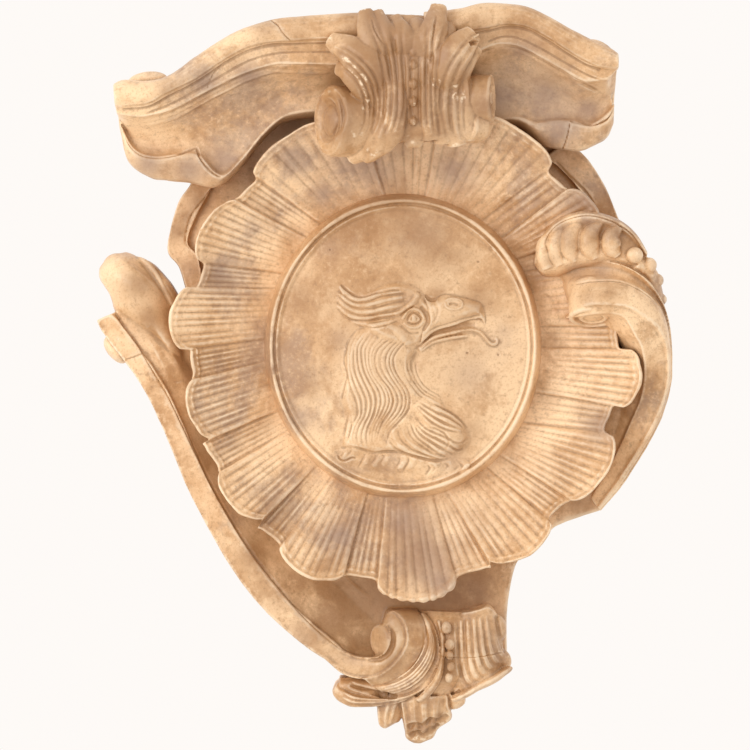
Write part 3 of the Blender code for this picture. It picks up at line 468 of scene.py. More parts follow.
class Skin:
    """A carving's dense skin while it is worked on."""

    def __init__(self, mesh: bpy.types.Mesh) -> None:
        """Read the mesh's points and edges."""
        self.mesh = mesh
        self.points = np.empty(len(mesh.vertices) * 3)
        mesh.vertices.foreach_get("co", self.points)
        self.points = self.points.reshape(-1, 3)
        self.edges = np.empty(len(mesh.edges) * 2, dtype=np.int64)
        mesh.edges.foreach_get("vertices", self.edges)
        self.edges = self.edges.reshape(-1, 2)
        self.links = np.maximum(np.bincount(self.edges.ravel(), minlength=len(self.points)), 1)
        self.fresh = np.zeros(len(self.points))

    def write(self) -> None:
        """Put the points back into the mesh."""
        self.mesh.vertices.foreach_set("co", self.points.ravel())
        self.mesh.update()

    def normals(self) -> np.ndarray:
        """The outward direction at each point."""
        self.write()
        found = np.empty(len(self.points) * 3, dtype=np.float32)
        self.mesh.vertex_normals.foreach_get("vector", found)
        return found.reshape(-1, 3).astype(float)

    def softened(self, points: np.ndarray, rounds: int) -> np.ndarray:
        """The points after each has moved to the middle of its neighbours, rounds times."""
        first, second = self.edges.T
        for _ in range(rounds):
            sums = [np.bincount(first, points[second, axis], len(points))
                    + np.bincount(second, points[first, axis], len(points)) for axis in range(3)]
            points = 0.5 * points + 0.5 * np.stack(sums, axis=1) / self.links[:, None]
        return points

    def relax(self, rounds: int) -> None:
        """Smooth away the steps that merging leaves."""
        self.points = self.softened(self.points, rounds)

    def lift(self, chosen: np.ndarray, normals: np.ndarray, levels: np.ndarray) -> None:
        """Move the chosen points out along their directions, more where they face the front."""
        facing = np.clip((-normals[chosen, 1] - FACING) / FACING_SPAN, 0, 1)
        self.points[chosen] += normals[chosen] * (levels * facing * LEVEL)[:, None]

    def raise_mounds(self, mounds: Iterable[Mound]) -> None:
        """Raise each mound's patch."""
        for mound in mounds:
            normals = self.normals()
            flat = self.points[:, (0, 2)] / STEP
            low, high = mound.outline.min(axis=0), mound.outline.max(axis=0)
            chosen = np.flatnonzero(((flat > low) & (flat < high)).all(axis=1) & (normals[:, 1] < 0))
            chosen = chosen[inside(flat[chosen], mound.outline)]
            closed = np.concatenate((mound.outline, mound.outline[:1]))
            gap = np.abs(gap_from(flat[chosen], closed)[0])
            depth = 1 - np.clip(gap / mound.shoulder, 0, 1)
            inward = 1 - depth
            shape = inward**2 * (3 - 2 * inward) if mound.soft else np.sqrt(1 - depth**2)
            self.points[chosen, 1] -= mound.rise * LEVEL * shape

    def carve(self, strokes: Iterable[Stroke]) -> None:
        """Cut or raise every stroke."""
        normals = self.normals()
        front = np.flatnonzero(normals[:, 1] < -FACING)
        flat = self.points[front][:, (0, 2)] / STEP
        levels = np.zeros(len(self.points))
        for stroke in strokes:
            low = stroke.path.min(axis=0) - stroke.width
            high = stroke.path.max(axis=0) + stroke.width
            near = np.flatnonzero(((flat > low) & (flat < high)).all(axis=1))
            if len(near):
                gap, share = gap_from(flat[near], smooth(stroke.path, 3))
                close = np.abs(gap) < stroke.width
                levels[front[near[close]]] += stroke.height(gap[close], share[close])
        self.lift(front, normals, levels[front])

    def chip(self, chips: Iterable[Chip]) -> None:
        """Break a flake off at each chip's place, and mark the fresh stone that it bares."""
        for chip in chips:
            normals = self.normals()
            flat = self.points[:, (0, 2)] / STEP
            near = np.flatnonzero((np.linalg.norm(flat - chip.place, axis=1) < chip.radius)
                                  & (normals[:, 1] < 0.3))
            if not len(near):
                continue
            front = near[self.points[near, 1] < self.points[near, 1].min() + chip.radius * STEP]
            middle = self.points[front].mean(axis=0)
            way = normals[front].mean(axis=0)
            way /= np.linalg.norm(way)
            above = (self.points[front] - middle) @ way
            rough = lumps(self.points[front], CRUMBS, 5) * 0.35 * LEVEL
            away = np.linalg.norm(self.points[front] - middle, axis=1)
            reach = np.clip(away / (chip.radius * STEP), 0, 1)
            proud = above - np.quantile(above, 0.62) + rough
            bite = np.clip(proud, 0, chip.depth * LEVEL) * np.sqrt(1 - reach**2)
            self.points[front] -= way * bite[:, None]
            self.fresh[front] = np.maximum(self.fresh[front], np.clip(bite / FRESH_BITE, 0, 1))

    def weather(self, amounts: Iterable[tuple[float, float, int]]) -> None:
        """Leave the uneven surface of hand work: lumps of each size, depth in metres and seed."""
        normals = self.normals()
        for size, depth, seed in amounts:
            self.points += normals * (lumps(self.points, size, seed) * depth)[:, None]

    def stained(self, patches: Iterable[Stain], patina: Patina) -> np.ndarray:
        """How strongly the stains of one kind lie on each point, from 0 to 1."""
        flat = self.points[:, (0, 2)] / STEP
        clean = np.ones(len(flat))
        for patch in patches:
            if patch.patina is patina:
                gap = np.linalg.norm(flat - patch.place, axis=1) / patch.radius
                clean *= 1 - patch.strength * np.exp(-gap**2 * 1.5)
        return 1 - clean

    def hollows(self) -> tuple[np.ndarray, np.ndarray]:
        """How far each point lies in a hollow, fine and broad, in metres, less than 0 on an edge."""
        normals = self.normals()
        fine = self.softened(self.points, FINE_ROUNDS)
        broad = self.softened(fine, BROAD_ROUNDS)
        return tuple(((level - self.points) * normals).sum(axis=1) for level in (fine, broad))


@dataclass(frozen=True)
class MarbleFinish:
    """Honey-coloured marble: cream and tan clouds, grey-purple veins, and hollows browned by soiling and
    painted shade.
    """

    name: str = "honey_marble"
    cream: Colour = (0.95, 0.67, 0.405)
    tan: Colour = (0.74, 0.46, 0.24)
    honey: Colour = (0.50, 0.265, 0.11)
    smoke: Colour = (0.34, 0.225, 0.17)
    umber: Colour = (0.34, 0.17, 0.070)
    # A dark brown for the speckle, for soiling and for painted shade in the hollows.
    grime_and_shade: Colour = (0.19, 0.095, 0.040)
    fresh: Colour = (0.95, 0.76, 0.54)
    roughness: float = 0.38
    bump: float = 0.45
    # Strength of the pale edges: partly wear, partly painted highlight.
    worn_and_highlit: float = 0.75
    smoky: float = 0.82
    browned: float = 0.88
    # Strength of the dark in fine hollows: partly soiling, partly painted shade.
    dirt_and_shade_strength: float = 0.50
    # Strength of the painted shade from ambient occlusion.
    painted_shade: float = 0.60
    broken: float = 0.80

    def material(self) -> bpy.types.Material:
        """Make the marble's material, the same clouds running on through every carving."""
        stone = Wiring(self.name)
        place = stone.node("ShaderNodeTexCoord").outputs["Object"]
        warped = stone.warped(place, 6.0, 0.07)
        colour = self.clouds(stone, warped)
        colour = self.grain(stone, place, colour)
        colour = self.age(stone, place, warped, colour)
        stone.link(colour, stone.shader.inputs["Base Color"])
        gloss = stone.noise(place, 70.0, 5.0)
        stone.link(stone.spread(gloss, self.roughness - 0.12, self.roughness + 0.16),
                   stone.shader.inputs["Roughness"])
        stone.bumps(((stone.noise(place, 1100.0, 3.0), 0.00012),
                     (stone.noise(place, 180.0, 6.0, roughness=0.65), 0.0006)), self.bump)
        return stone.material

    def clouds(self, stone: "Wiring", warped: Socket) -> Socket:
        """The large clouds, blotches and grey-purple veins.

        Args:
            stone: the material's nodes.
            warped: coordinates in metres, gently bent.

        Returns:
            The colour so far.
        """
        clouds = stone.noise(warped, 12.0, 8.0, roughness=0.62)
        colour = stone.ramp(clouds, ((0.36, self.honey), (0.46, self.tan), (0.57, self.cream)))
        blotch = stone.noise(warped, 38.0, 6.0, roughness=0.65)
        colour = stone.blend(colour, self.cream, stone.band(blotch, 0.50, 0.66), 0.60)
        colour = stone.blend(colour, self.honey, stone.band(blotch, 0.50, 0.34), 0.62)
        smoke = stone.noise(warped, 8.5, 7.0, roughness=0.7, offset=3.1)
        colour = stone.blend(colour, self.smoke, stone.band(smoke, 0.52, 0.63), 0.60)
        veins = stone.noise(warped, 14.0, 5.0, roughness=0.55, kind="RIDGED_MULTIFRACTAL")
        return stone.blend(colour, self.smoke, stone.band(veins, 1.05, 1.45), 0.55)

    def grain(self, stone: "Wiring", place: Socket,
              colour: Socket) -> Socket:
        """The stone's speckle, light and dark, over the colour so far."""
        coarse = stone.noise(place, 230.0, 5.0, roughness=0.75)
        colour = stone.blend(colour, self.cream, stone.band(coarse, 0.50, 0.70), 0.55)
        colour = stone.blend(colour, self.grime_and_shade, stone.band(coarse, 0.48, 0.28), 0.46)
        fine = stone.noise(place, 700.0, 3.0, roughness=0.7, offset=1.3)
        return stone.blend(colour, self.honey, stone.band(fine, 0.5, 0.3), 0.45)

    def age(self, stone: "Wiring", place: Socket, warped: Socket,
            colour: Socket) -> Socket:
        """Stains, soiling and painted shade in the hollows, pale edges of wear and painted highlight, and
        fresh breaks.

        Args:
            stone: the material's nodes.
            place: coordinates in metres.
            warped: the same, gently bent.
            colour: the colour so far.

        Returns:
            The finished colour.
        """
        patch = stone.noise(place, 60.0, 6.0, roughness=0.72)
        mottle = stone.noise(warped, 26.0, 6.0, roughness=0.7, offset=5.2)
        veil = stone.band(mottle, 0.24, 0.50)
        fine = stone.mark("fine")
        # Pale ridges and edges: partly wear, partly a painted highlight on the lit arrises.
        worn_and_highlit = stone.product(stone.band(fine, 0.42, 0.08), stone.band(patch, 0.30, 0.58))
        colour = stone.blend(colour, self.fresh, worn_and_highlit, self.worn_and_highlit)
        colour = stone.blend(colour, self.smoke, stone.product(stone.mark("smoky"), veil), self.smoky)
        browned = stone.product(stone.mark("browned"), veil)
        colour = stone.blend(colour, self.umber, browned, self.browned)
        # Darker in the fine hollows: partly soiling, partly painted shade that deepens the relief of reeds
        # and grooves.
        dirt_and_shade = stone.product(stone.band(fine, 0.50, 0.95), stone.band(patch, 0.22, 0.55))
        colour = stone.blend(colour, self.grime_and_shade, dirt_and_shade, self.dirt_and_shade_strength)
        # Painted shade: broad hollows turned honey-brown.
        colour = stone.blend(colour, self.honey, stone.band(stone.mark("broad"), 0.60, 1.0), 0.55)
        # Painted shade from ambient occlusion: honey where little light reaches, dark brown in the deepest
        # recesses.
        shade = stone.node("ShaderNodeAmbientOcclusion")
        shade.samples = 8
        shade.inputs["Distance"].default_value = 0.030
        shadow = stone.band(shade.outputs["AO"], 0.72, 0.22)
        colour = stone.blend(colour, self.honey, shadow, self.painted_shade)
        deep = stone.product(stone.band(shade.outputs["AO"], 0.42, 0.06), stone.band(patch, 0.05, 0.45))
        colour = stone.blend(colour, self.grime_and_shade, deep, self.painted_shade)
        crumbs = stone.noise(place, 330.0, 4.0, roughness=0.7, offset=2.2)
        broken = stone.product(stone.mark("fresh"), stone.band(crumbs, 0.40, 0.58))
        return stone.blend(colour, self.fresh, broken, self.broken)


@dataclass(frozen=True)
class FloorFinish:
    """A plain pale studio floor."""

    name: str = "pale_floor"
    colour: Colour = (0.80, 0.78, 0.75)
    roughness: float = 0.7

    def material(self) -> bpy.types.Material:
        """Make the floor's material, with a faint unevenness."""
        floor = Wiring(self.name)
        place = floor.node("ShaderNodeTexCoord").outputs["Object"]
        cloud = floor.noise(place, 3.0, 4.0)
        darker = tuple(0.94 * part for part in self.colour)
        colour = floor.ramp(cloud, ((0.3, darker), (0.7, self.colour)))
        floor.link(colour, floor.shader.inputs["Base Color"])
        floor.shader.inputs["Roughness"].default_value = self.roughness
        return floor.material


class Wiring:
    """A material's nodes, added one after another."""

    def __init__(self, name: str) -> None:
        """Start a material with its shader."""
        self.material = bpy.data.materials.new(name)
        self.material.use_nodes = True
        self.nodes = self.material.node_tree.nodes
        self.shader = self.nodes["Principled BSDF"]

    def node(self, kind: str, **settings: object) -> bpy.types.Node:
        """Add a node and give it its settings."""
        made = self.nodes.new(kind)
        for setting, value in settings.items():
            setattr(made, setting, value)
        return made

    def link(self, start: Socket, end: Socket) -> None:
        """Join two sockets."""
        self.material.node_tree.links.new(start, end)

    def noise(self, place: Socket, scale: float, detail: float, roughness: float = 0.5,
              offset: float = 0.0, kind: str = "FBM", output: str = "Fac") -> Socket:
        """Add a noise.

        Args:
            place: the coordinates that it is read at.
            scale: lumps in a metre.
            detail: how many finer layers it has.
            roughness: how strong those layers are.
            offset: a shift that makes it another pattern.
            kind: the noise's type.
            output: which of its outputs is used.

        Returns:
            The noise's output.
        """
        made = self.node("ShaderNodeTexNoise", noise_type=kind, normalize=kind == "FBM")
        if offset:
            shift = self.node("ShaderNodeVectorMath", operation="ADD")
            shift.inputs[1].default_value = (offset, -offset, offset * 0.7)
            self.link(place, shift.inputs[0])
            place = shift.outputs[0]
        self.link(place, made.inputs["Vector"])
        made.inputs["Scale"].default_value = scale
        made.inputs["Detail"].default_value = detail
        made.inputs["Roughness"].default_value = roughness
        return made.outputs[output]

    def warped(self, place: Socket, scale: float, amount: float) -> Socket:
        """Bend coordinates by a soft noise of the given scale, by an amount in metres."""
        drift = self.noise(place, scale, 3.0, output="Color")
        bent = self.node("ShaderNodeVectorMath", operation="MULTIPLY_ADD")
        self.link(drift, bent.inputs[0])
        bent.inputs[1].default_value = (amount, amount, amount)
        self.link(place, bent.inputs[2])
        return bent.outputs[0]

    def ramp(self, value: Socket,
             stops: Sequence[tuple[float, Colour]]) -> Socket:
        """Turn a value into a colour between the stops."""
        made = self.node("ShaderNodeValToRGB")
        elements = made.color_ramp.elements
        while len(elements) < len(stops):
            elements.new(0.5)
        for element, (position, colour) in zip(elements, stops):
            element.position = position
            element.color = (*colour, 1.0)
        self.link(value, made.inputs["Fac"])
        return made.outputs["Color"]

    def spread(self, value: Socket, low: float, high: float) -> Socket:
        """Map a value from 0 to 1 onto low to high."""
        made = self.node("ShaderNodeMapRange")
        self.link(value, made.inputs["Value"])
        made.inputs["To Min"].default_value = low
        made.inputs["To Max"].default_value = high
        return made.outputs["Result"]

    def band(self, value: Socket, start: float, end: float) -> Socket:
        """A share that grows from 0 at start to 1 at end, smoothly, either way round."""
        made = self.node("ShaderNodeMapRange", interpolation_type="SMOOTHSTEP")
        self.link(value, made.inputs["Value"])
        low, high = min(start, end), max(start, end)
        made.inputs["From Min"].default_value = low
        made.inputs["From Max"].default_value = high
        made.inputs["To Min"].default_value = 0.0 if start < end else 1.0
        made.inputs["To Max"].default_value = 1.0 if start < end else 0.0
        return made.outputs["Result"]

    def product(self, first: Socket, second: Socket) -> Socket:
        """Two shares multiplied."""
        made = self.node("ShaderNodeMath", operation="MULTIPLY")
        self.link(first, made.inputs[0])
        self.link(second, made.inputs[1])
        return made.outputs[0]

    def blend(self, colour: Socket, other: Colour, share: Socket, strength: float) -> Socket:
        """Mix another colour in by a share times a strength."""
        scaled = self.node("ShaderNodeMath", operation="MULTIPLY")
        self.link(share, scaled.inputs[0])
        scaled.inputs[1].default_value = strength
        made = self.node("ShaderNodeMixRGB")
        self.link(scaled.outputs[0], made.inputs["Fac"])
        self.link(colour, made.inputs["Color1"])
        made.inputs["Color2"].default_value = (*other, 1.0)
        return made.outputs["Color"]

    def mark(self, name: str) -> Socket:
        """A value that the carving stored on its points."""
        return self.node("ShaderNodeAttribute", attribute_name=name).outputs["Fac"]

    def bumps(self, layers: Iterable[tuple[Socket, float]], strength: float) -> None:
        """Wire layers of bump, each a height and its distance in metres, into the shader."""
        previous = None
        for height, distance in layers:
            made = self.node("ShaderNodeBump")
            made.inputs["Strength"].default_value = strength
            made.inputs["Distance"].default_value = distance
            self.link(height, made.inputs["Height"])
            if previous:
                self.link(previous, made.inputs["Normal"])
            previous = made.outputs["Normal"]
        self.link(previous, self.shader.inputs["Normal"])


@dataclass(frozen=True)
class Carving(ABC):
    """One carved part of the block: how finely it is skinned, and where its back is cut."""

    name: str = "carving"
    cell: float = 0.00090
    triangles: int = 120000
    back: float = 0.0
    relax_rounds: int = 2
    wear: float = 1.0

    @abstractmethod
    def form(self, forms: Forms) -> None:
        """Add the part's closed forms."""

    def mounds(self) -> list[Mound]:
        """Patches raised on the front."""
        return []

    def strokes(self) -> list[Stroke]:
        """Lines cut or raised on the front."""
        return []

    def chips(self) -> list[Chip]:
        """Broken flakes."""
        return []

    def stains(self) -> list[Stain]:
        """Stained patches, some of them painted shade."""
        return []

    def build(self, marble: bpy.types.Material) -> bpy.types.Object:
        """Carve the part, dress it and place it in the frame.

        Args:
            marble: the stone's material.

        Returns:
            The finished piece.
        """
        forms = Forms()
        self.form(forms)
        skin = Skin(forms.merged(self.name, self.cell))
        skin.relax(self.relax_rounds)
        skin.raise_mounds(self.mounds())
        skin.carve(self.strokes())
        skin.chip(self.chips())
        skin.weather((
            (*WAVES, 1), (DENTS[0], DENTS[1] * self.wear, 2), (PITS[0], PITS[1] * self.wear, 3),
        ))
        fine, broad = skin.hollows()
        skin.write()
        mesh = self.thinned(skin.mesh)
        self.flatten_back(mesh)
        self.fit_box(mesh)
        self.store_marks(mesh, skin.points, {
            "fine": 0.5 + fine / FINE_RANGE, "broad": 0.5 + broad / BROAD_RANGE, "fresh": skin.fresh,
            **{patina.value: skin.stained(self.stains(), patina) for patina in Patina},
        })
        mesh.name = self.name
        mesh.materials.clear()
        mesh.materials.append(marble)
        mesh.shade_smooth()
        mesh.set_sharp_from_angle(angle=math.radians(SHARP_ANGLE))
        piece = bpy.data.objects.new(self.name, mesh)
        bpy.context.collection.objects.link(piece)
        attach(piece, "root")
        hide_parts("cartouche")
        return piece

    def thinned(self, mesh: bpy.types.Mesh) -> bpy.types.Mesh:
        """The skin with no more than the part's triangles."""
        work = bpy.data.objects.new("thin", mesh)
        bpy.context.collection.objects.link(work)
        thin = work.modifiers.new("thin", "DECIMATE")
        thin.ratio = min(1.0, self.triangles / (2 * len(mesh.polygons)))
        return applied(work)

    def flatten_back(self, mesh: bpy.types.Mesh) -> None:
        """Cut the part off flat at its back and close the cut."""
        work = bmesh.new()
        work.from_mesh(mesh)
        cut = bmesh.ops.bisect_plane(
            work, geom=work.verts[:] + work.edges[:] + work.faces[:], dist=1e-7,
            plane_co=(0, -self.back, 0), plane_no=(0, 1, 0), clear_outer=True,
        )
        rim = [item for item in cut["geom_cut"] if isinstance(item, bmesh.types.BMEdge)]
        if rim:
            bmesh.ops.triangle_fill(work, edges=rim, use_beauty=True, normal=(0, 1, 0))
            bmesh.ops.recalc_face_normals(work, faces=work.faces[:])
        work.to_mesh(mesh)
        work.free()

    @staticmethod
    def fit_box(mesh: bpy.types.Mesh) -> None:
        """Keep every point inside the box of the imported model."""
        low, high = (np.array(corner) for corner in CAD_BOX)
        points = np.empty(len(mesh.vertices) * 3)
        mesh.vertices.foreach_get("co", points)
        points = np.clip(points.reshape(-1, 3), low, high)
        mesh.vertices.foreach_set("co", points.ravel())
        mesh.update()

    @staticmethod
    def store_marks(mesh: bpy.types.Mesh, dense: np.ndarray, marks: dict[str, np.ndarray]) -> None:
        """Store values of the dense skin on the thinned mesh, each from its nearest point."""
        tree = KDTree(len(dense))
        for index, point in enumerate(dense.tolist()):
            tree.insert(point, index)
        tree.balance()
        nearest = [tree.find(vertex.co)[1] for vertex in mesh.vertices]
        for name, values in marks.items():
            layer = mesh.attributes.new(name, "FLOAT", "POINT")
            layer.data.foreach_set("value", np.clip(values[nearest], 0, 1).astype(np.float32))


@dataclass(frozen=True)
class Slab(Carving):
    """The back slab with its ears, the long arm on its left and the volute that ends it."""

    name: str = "slab_and_arm"
    triangles: int = 110000
    depth: float = 0.027
    ear_depth: float = 0.032
    band_depth: float = 0.046

    def form(self, forms: Forms) -> None:
        """Add the slab, its ears, the arm, its knob and its volute."""
        self.form_slab(forms)
        self.form_ears(forms)
        self.form_arm(forms)
        self.form_knob(forms)
        self.form_volute(forms)

    def form_slab(self, forms: Forms) -> None:
        """Add the slab as one plate."""
        left_ear = [(-183, 236), (-198, 196), (-213, 164), (-227, 141), (-237, 98)]
        left_side = [(-237, 98), (-225, 80), (-217, 54), (-240, 20), (-255, -20), (-230, -75), (-205, -135)]
        bottom_left = [(-205, -135), (-165, -210), (-125, -258), (-75, -298), (-40, -318), (-3, -345)]
        foot = [(-3, -345), (47, -348), (96, -329)]
        bottom_right = [(96, -329), (104, -316), (105, -268), (109, -239), (115, -218), (127, -207)]
        right_cusp = [(127, -207), (143, -194), (153, -182), (177, -172), (198, -166)]
        right_side = [(198, -166), (225, -132), (248, -84), (262, -46), (264, -4), (250, 36), (237, 76)]
        right_ear = [(237, 76), (218, 126), (202, 164), (182, 193), (157, 216)]
        top = [(157, 216), (77, 286), (22, 320), (-22, 320), (-103, 286), (-183, 236)]
        forms.plate((left_ear, left_side, bottom_left, foot, bottom_right, right_cusp, right_side,
                     right_ear, top), self.depth)

    def form_ears(self, forms: Forms) -> None:
        """Add the raised borders of both ears."""
        left = (((-180, 225), (-165, 205)), ((-198, 196), (-182, 180)), ((-213, 164), (-196, 152)),
                ((-227, 141), (-208, 130)), ((-237, 98), (-216, 104)), ((-225, 80), (-206, 90)),
                ((-217, 54), (-200, 60)))
        right = (((162, 205), (142, 190)), ((182, 193), (160, 176)), ((202, 164), (182, 150)),
                 ((218, 126), (200, 116)), ((232, 88), (214, 80)))
        level = self.ear_depth / LEVEL
        for border in (left, right):
            forms.sections([(
                (*outer, BEHIND), (*outer, level - 2), (*mix(outer, inner, 0.10), level),
                (*mix(outer, inner, 0.5), level + 0.3), (*mix(outer, inner, 0.9), level),
                (*inner, level - 2), (*inner, BEHIND),
            ) for outer, inner in border])

    def form_arm(self, forms: Forms) -> None:
        """Add the arm: a flat outer band, a groove, and a cove that falls to the slab."""
        level = self.band_depth / LEVEL
        stations = (
            ((-307, 26), (-291, 33), (-268, 42, 45), (-231, 38, 38)),
            ((-301, 14), (-280, 21), (-258, 28, 46), (-225, 28, 35)),
            ((-280, -14), (-263, -2), (-245, 6, 44), (-215, 6, 31)),
            ((-269, -29), (-250, -21), (-231, -16, 41), (-205, -9, 28)),
            ((-254, -54), (-234, -47), (-217, -42, 37), (-190, -34, 26)),
            ((-231, -105), (-210, -100), (-195, -94, 34), (-165, -84, 25)),
            ((-212, -151), (-189, -143), (-171, -134, 33), (-141, -119, 25)),
            ((-173, -220), (-153, -205), (-135, -191, 33), (-107, -169, 25)),
            ((-140, -263), (-120, -248), (-103, -231, 33), (-78, -204, 25)),
            ((-104, -296), (-89, -278), (-72, -257, 34), (-52, -232, 25)),
            ((-79, -313), (-74, -290), (-60, -272, 34), (-38, -244, 25)),
            ((-58, -324), (-49, -312), (-42, -292, 32), (-20, -256, 24)),
            ((-32, -325), (-26, -314), (-20, -300, 29), (0, -268, 22)),
        )
        forms.sections([(
            (*outer, BEHIND), (*outer, level - 2.5), (*mix(outer, groove, 0.06), level - 0.4),
            (*mix(outer, groove, 0.2), level), (*mix(outer, groove, 0.8), level),
            (*mix(outer, groove, 0.97), level - 0.5), (*groove, level - 3.5),
            (*mix(groove, middle[:2], 0.4), middle[2] + (level - 3.5 - middle[2]) * 0.5), middle,
            (*mix(middle[:2], end[:2], 0.5), middle[2] * 0.35 + end[2] * 0.65), end, (*end[:2], BEHIND),
        ) for outer, groove, middle, end in stations])

    def form_knob(self, forms: Forms) -> None:
        """Add the rolled knob at the arm's upper end, its far leaf and its side button."""
        knob = (
            ((230, 262), (400, 196), 40), ((172, 340), (480, 225), 51), ((170, 430), (570, 300), 56),
            ((212, 505), (660, 385), 58), ((262, 580), (740, 480), 58), ((290, 660), (800, 580), 56),
            ((320, 750), (840, 680), 54), ((420, 850), (870, 790), 51), ((540, 960), (910, 910), 48),
            ((640, 1080), (960, 1040), 43), ((720, 1200), (1010, 1160), 37), ((800, 1330), (1060, 1290), 31),
        )
        forms.bolster(KNOB_SHEET.pairs(knob), drop=19)
        forms.egg((-287, 78, 34), (15, 15, 17))
        leaf = (
            ((430, 300), (520, 238), 40), ((560, 400), (648, 300), 44), ((680, 500), (785, 440), 46),
            ((760, 610), (862, 545), 45), ((790, 720), (905, 640), 41),
        )
        forms.bolster(KNOB_SHEET.pairs(leaf), drop=8)
        forms.egg((-290, -4, 18), (16, 8, 15), tilt=-52)

    def form_volute(self, forms: Forms) -> None:
        """Add the volute: the arm's band coiling in on itself, its outer wall and its coin-like eye."""
        coil = (
            ((30, 590), (30, 400), 46), ((150, 695), (130, 495), 47), ((250, 735), (220, 548), 49),
            ((350, 742), (310, 572), 52), ((450, 707), (405, 572), 55), ((562, 622), (470, 548), 58),
            ((642, 505), (512, 485), 60), ((657, 420), (525, 430), 61), ((642, 330), (515, 372), 61),
            ((602, 262), (498, 342), 60), ((545, 222), (482, 330), 58), ((495, 250), (470, 330), 55),
        )
        forms.bolster(FOOT_SHEET.pairs(coil), drop=3.5)
        wall = (
            ((330, 742), (390, 800), 50, 42), ((450, 705), (510, 775), 54, 46),
            ((560, 622), (665, 700), 57, 50), ((640, 505), (775, 565), 59, 53),
            ((656, 420), (800, 440), 60, 55), ((642, 330), (790, 335), 60, 54),
            ((602, 262), (755, 262), 59, 51), ((545, 222), (700, 222), 57, 47),
            ((500, 236), (600, 225), 52, 42),
        )
        placed = [(FOOT_SHEET.place(edge), FOOT_SHEET.place(side), *levels)
                  for edge, side, *levels in wall]
        forms.sections([(
            (*edge, BEHIND), (*edge, high - 6), (*edge, high), (*mix(edge, side, 0.08), high + 0.4),
            (*mix(edge, side, 0.45), high * 0.72 + low * 0.28),
            (*mix(edge, side, 0.85), high * 0.25 + low * 0.75), (*side, low - 6), (*side, BEHIND),
        ) for edge, side, high, low in placed])
        radius = 16.5 * STEP
        forms.turned((-20.5, -294, 50), (-0.80, -0.60, 0.0), (
            (radius * 0.9, -0.016), (radius, -0.008), (radius, 0.0016), (radius * 0.94, 0.0030),
            (radius * 0.84, 0.0036), (radius * 0.5, 0.0042), (radius * 0.02, 0.0044),
        ))

    def strokes(self) -> list[Stroke]:
        """Cut the arm's groove, the ears' lines and the knob's valley."""
        groove = FRONT_SHEET.place([(112, 308), (123, 325), (140, 348), (155, 375), (170, 400), (196, 454),
                                    (227, 514), (258, 562), (299, 612), (330, 642), (352, 655)])
        crack = FRONT_SHEET.place([(124, 360), (133, 357), (143, 353)])
        left_ear = FRONT_SHEET.place([(215, 183), (203, 198), (190, 215), (184, 240), (191, 250)])
        right_ear = FRONT_SHEET.place([(557, 160), (573, 177), (588, 192), (597, 208)])
        valley = KNOB_SHEET.place([(450, 270), (560, 340), (680, 440), (780, 560), (830, 680)])
        ridge = KNOB_SHEET.place([(520, 250), (640, 330), (720, 450), (790, 580), (850, 700)])
        cove = KNOB_SHEET.place([(620, 900), (720, 1050), (820, 1230), (900, 1400)])
        hollow = FOOT_SHEET.place([(500, 330), (545, 400), (545, 480), (510, 550), (440, 590), (360, 590)])
        return [
            Stroke(groove, 1.5, -1.5, Cut.VEE, 0.02), Stroke(crack, 1.1, -0.7, Cut.ROUND),
            Stroke(left_ear, 1.4, -1.4, Cut.VEE), Stroke(right_ear, 1.6, -1.4, Cut.VEE),
            Stroke(valley, 5, -1.5, Cut.ROUND, 0.4), Stroke(ridge, 3, 1.8, Cut.ROUND),
            Stroke(cove, 7, -1.5, Cut.ROUND, 0.4), Stroke(hollow, 3.4, -2.6, Cut.ROUND, 0.4),
        ]

    def stains(self) -> list[Stain]:
        """The brown of the slab, partly stain and partly painted shade under the frill and the crest, and of
        the knob's valley and the volute's face.
        """
        # Painted shade over real brown: the patches along the frill's foot, from (290, 585) to (480, 595),
        # and those at (300, 130) and (520, 130) under the crest.
        browned = ((330, 620, 46), (290, 585, 34), (380, 600, 34), (430, 600, 34), (480, 595, 26),
                   (137, 285, 22), (150, 320, 20), (390, 660, 26), (355, 650, 22), (580, 500, 22),
                   (610, 200, 16), (255, 555, 22), (185, 215, 10), (300, 130, 30), (520, 130, 30),
                   (158, 266, 12), (169, 290, 12), (178, 312, 10), (388, 633, 9), (340, 600, 40),
                   (400, 595, 40), (460, 590, 30), (198, 200, 16), (176, 230, 14))
        smoky = ((300, 640, 20), (188, 270, 16), (596, 185, 16), (500, 620, 16))
        return stains(browned, Patina.BROWNED, 0.85) + stains(smoky, Patina.SMOKY, 0.4)

    def chips(self) -> list[Chip]:
        """Wear on the arm's outer edge."""
        return [Chip((-254, -52), 5), Chip((-287, 8), 4), Chip((-196, -176), 4, 1.0),
                Chip((-92, -301), 5, 1.0), Chip((-244, -70), 3, 1.0)]


@dataclass(frozen=True)
class Panel:
    """A panel of the frill: where it starts at the rim and at the foot, in degrees, and its reach."""

    rim_start: float
    foot_start: float
    reach: float
    reeds: int
    raised: bool = False
    rolled: bool = False


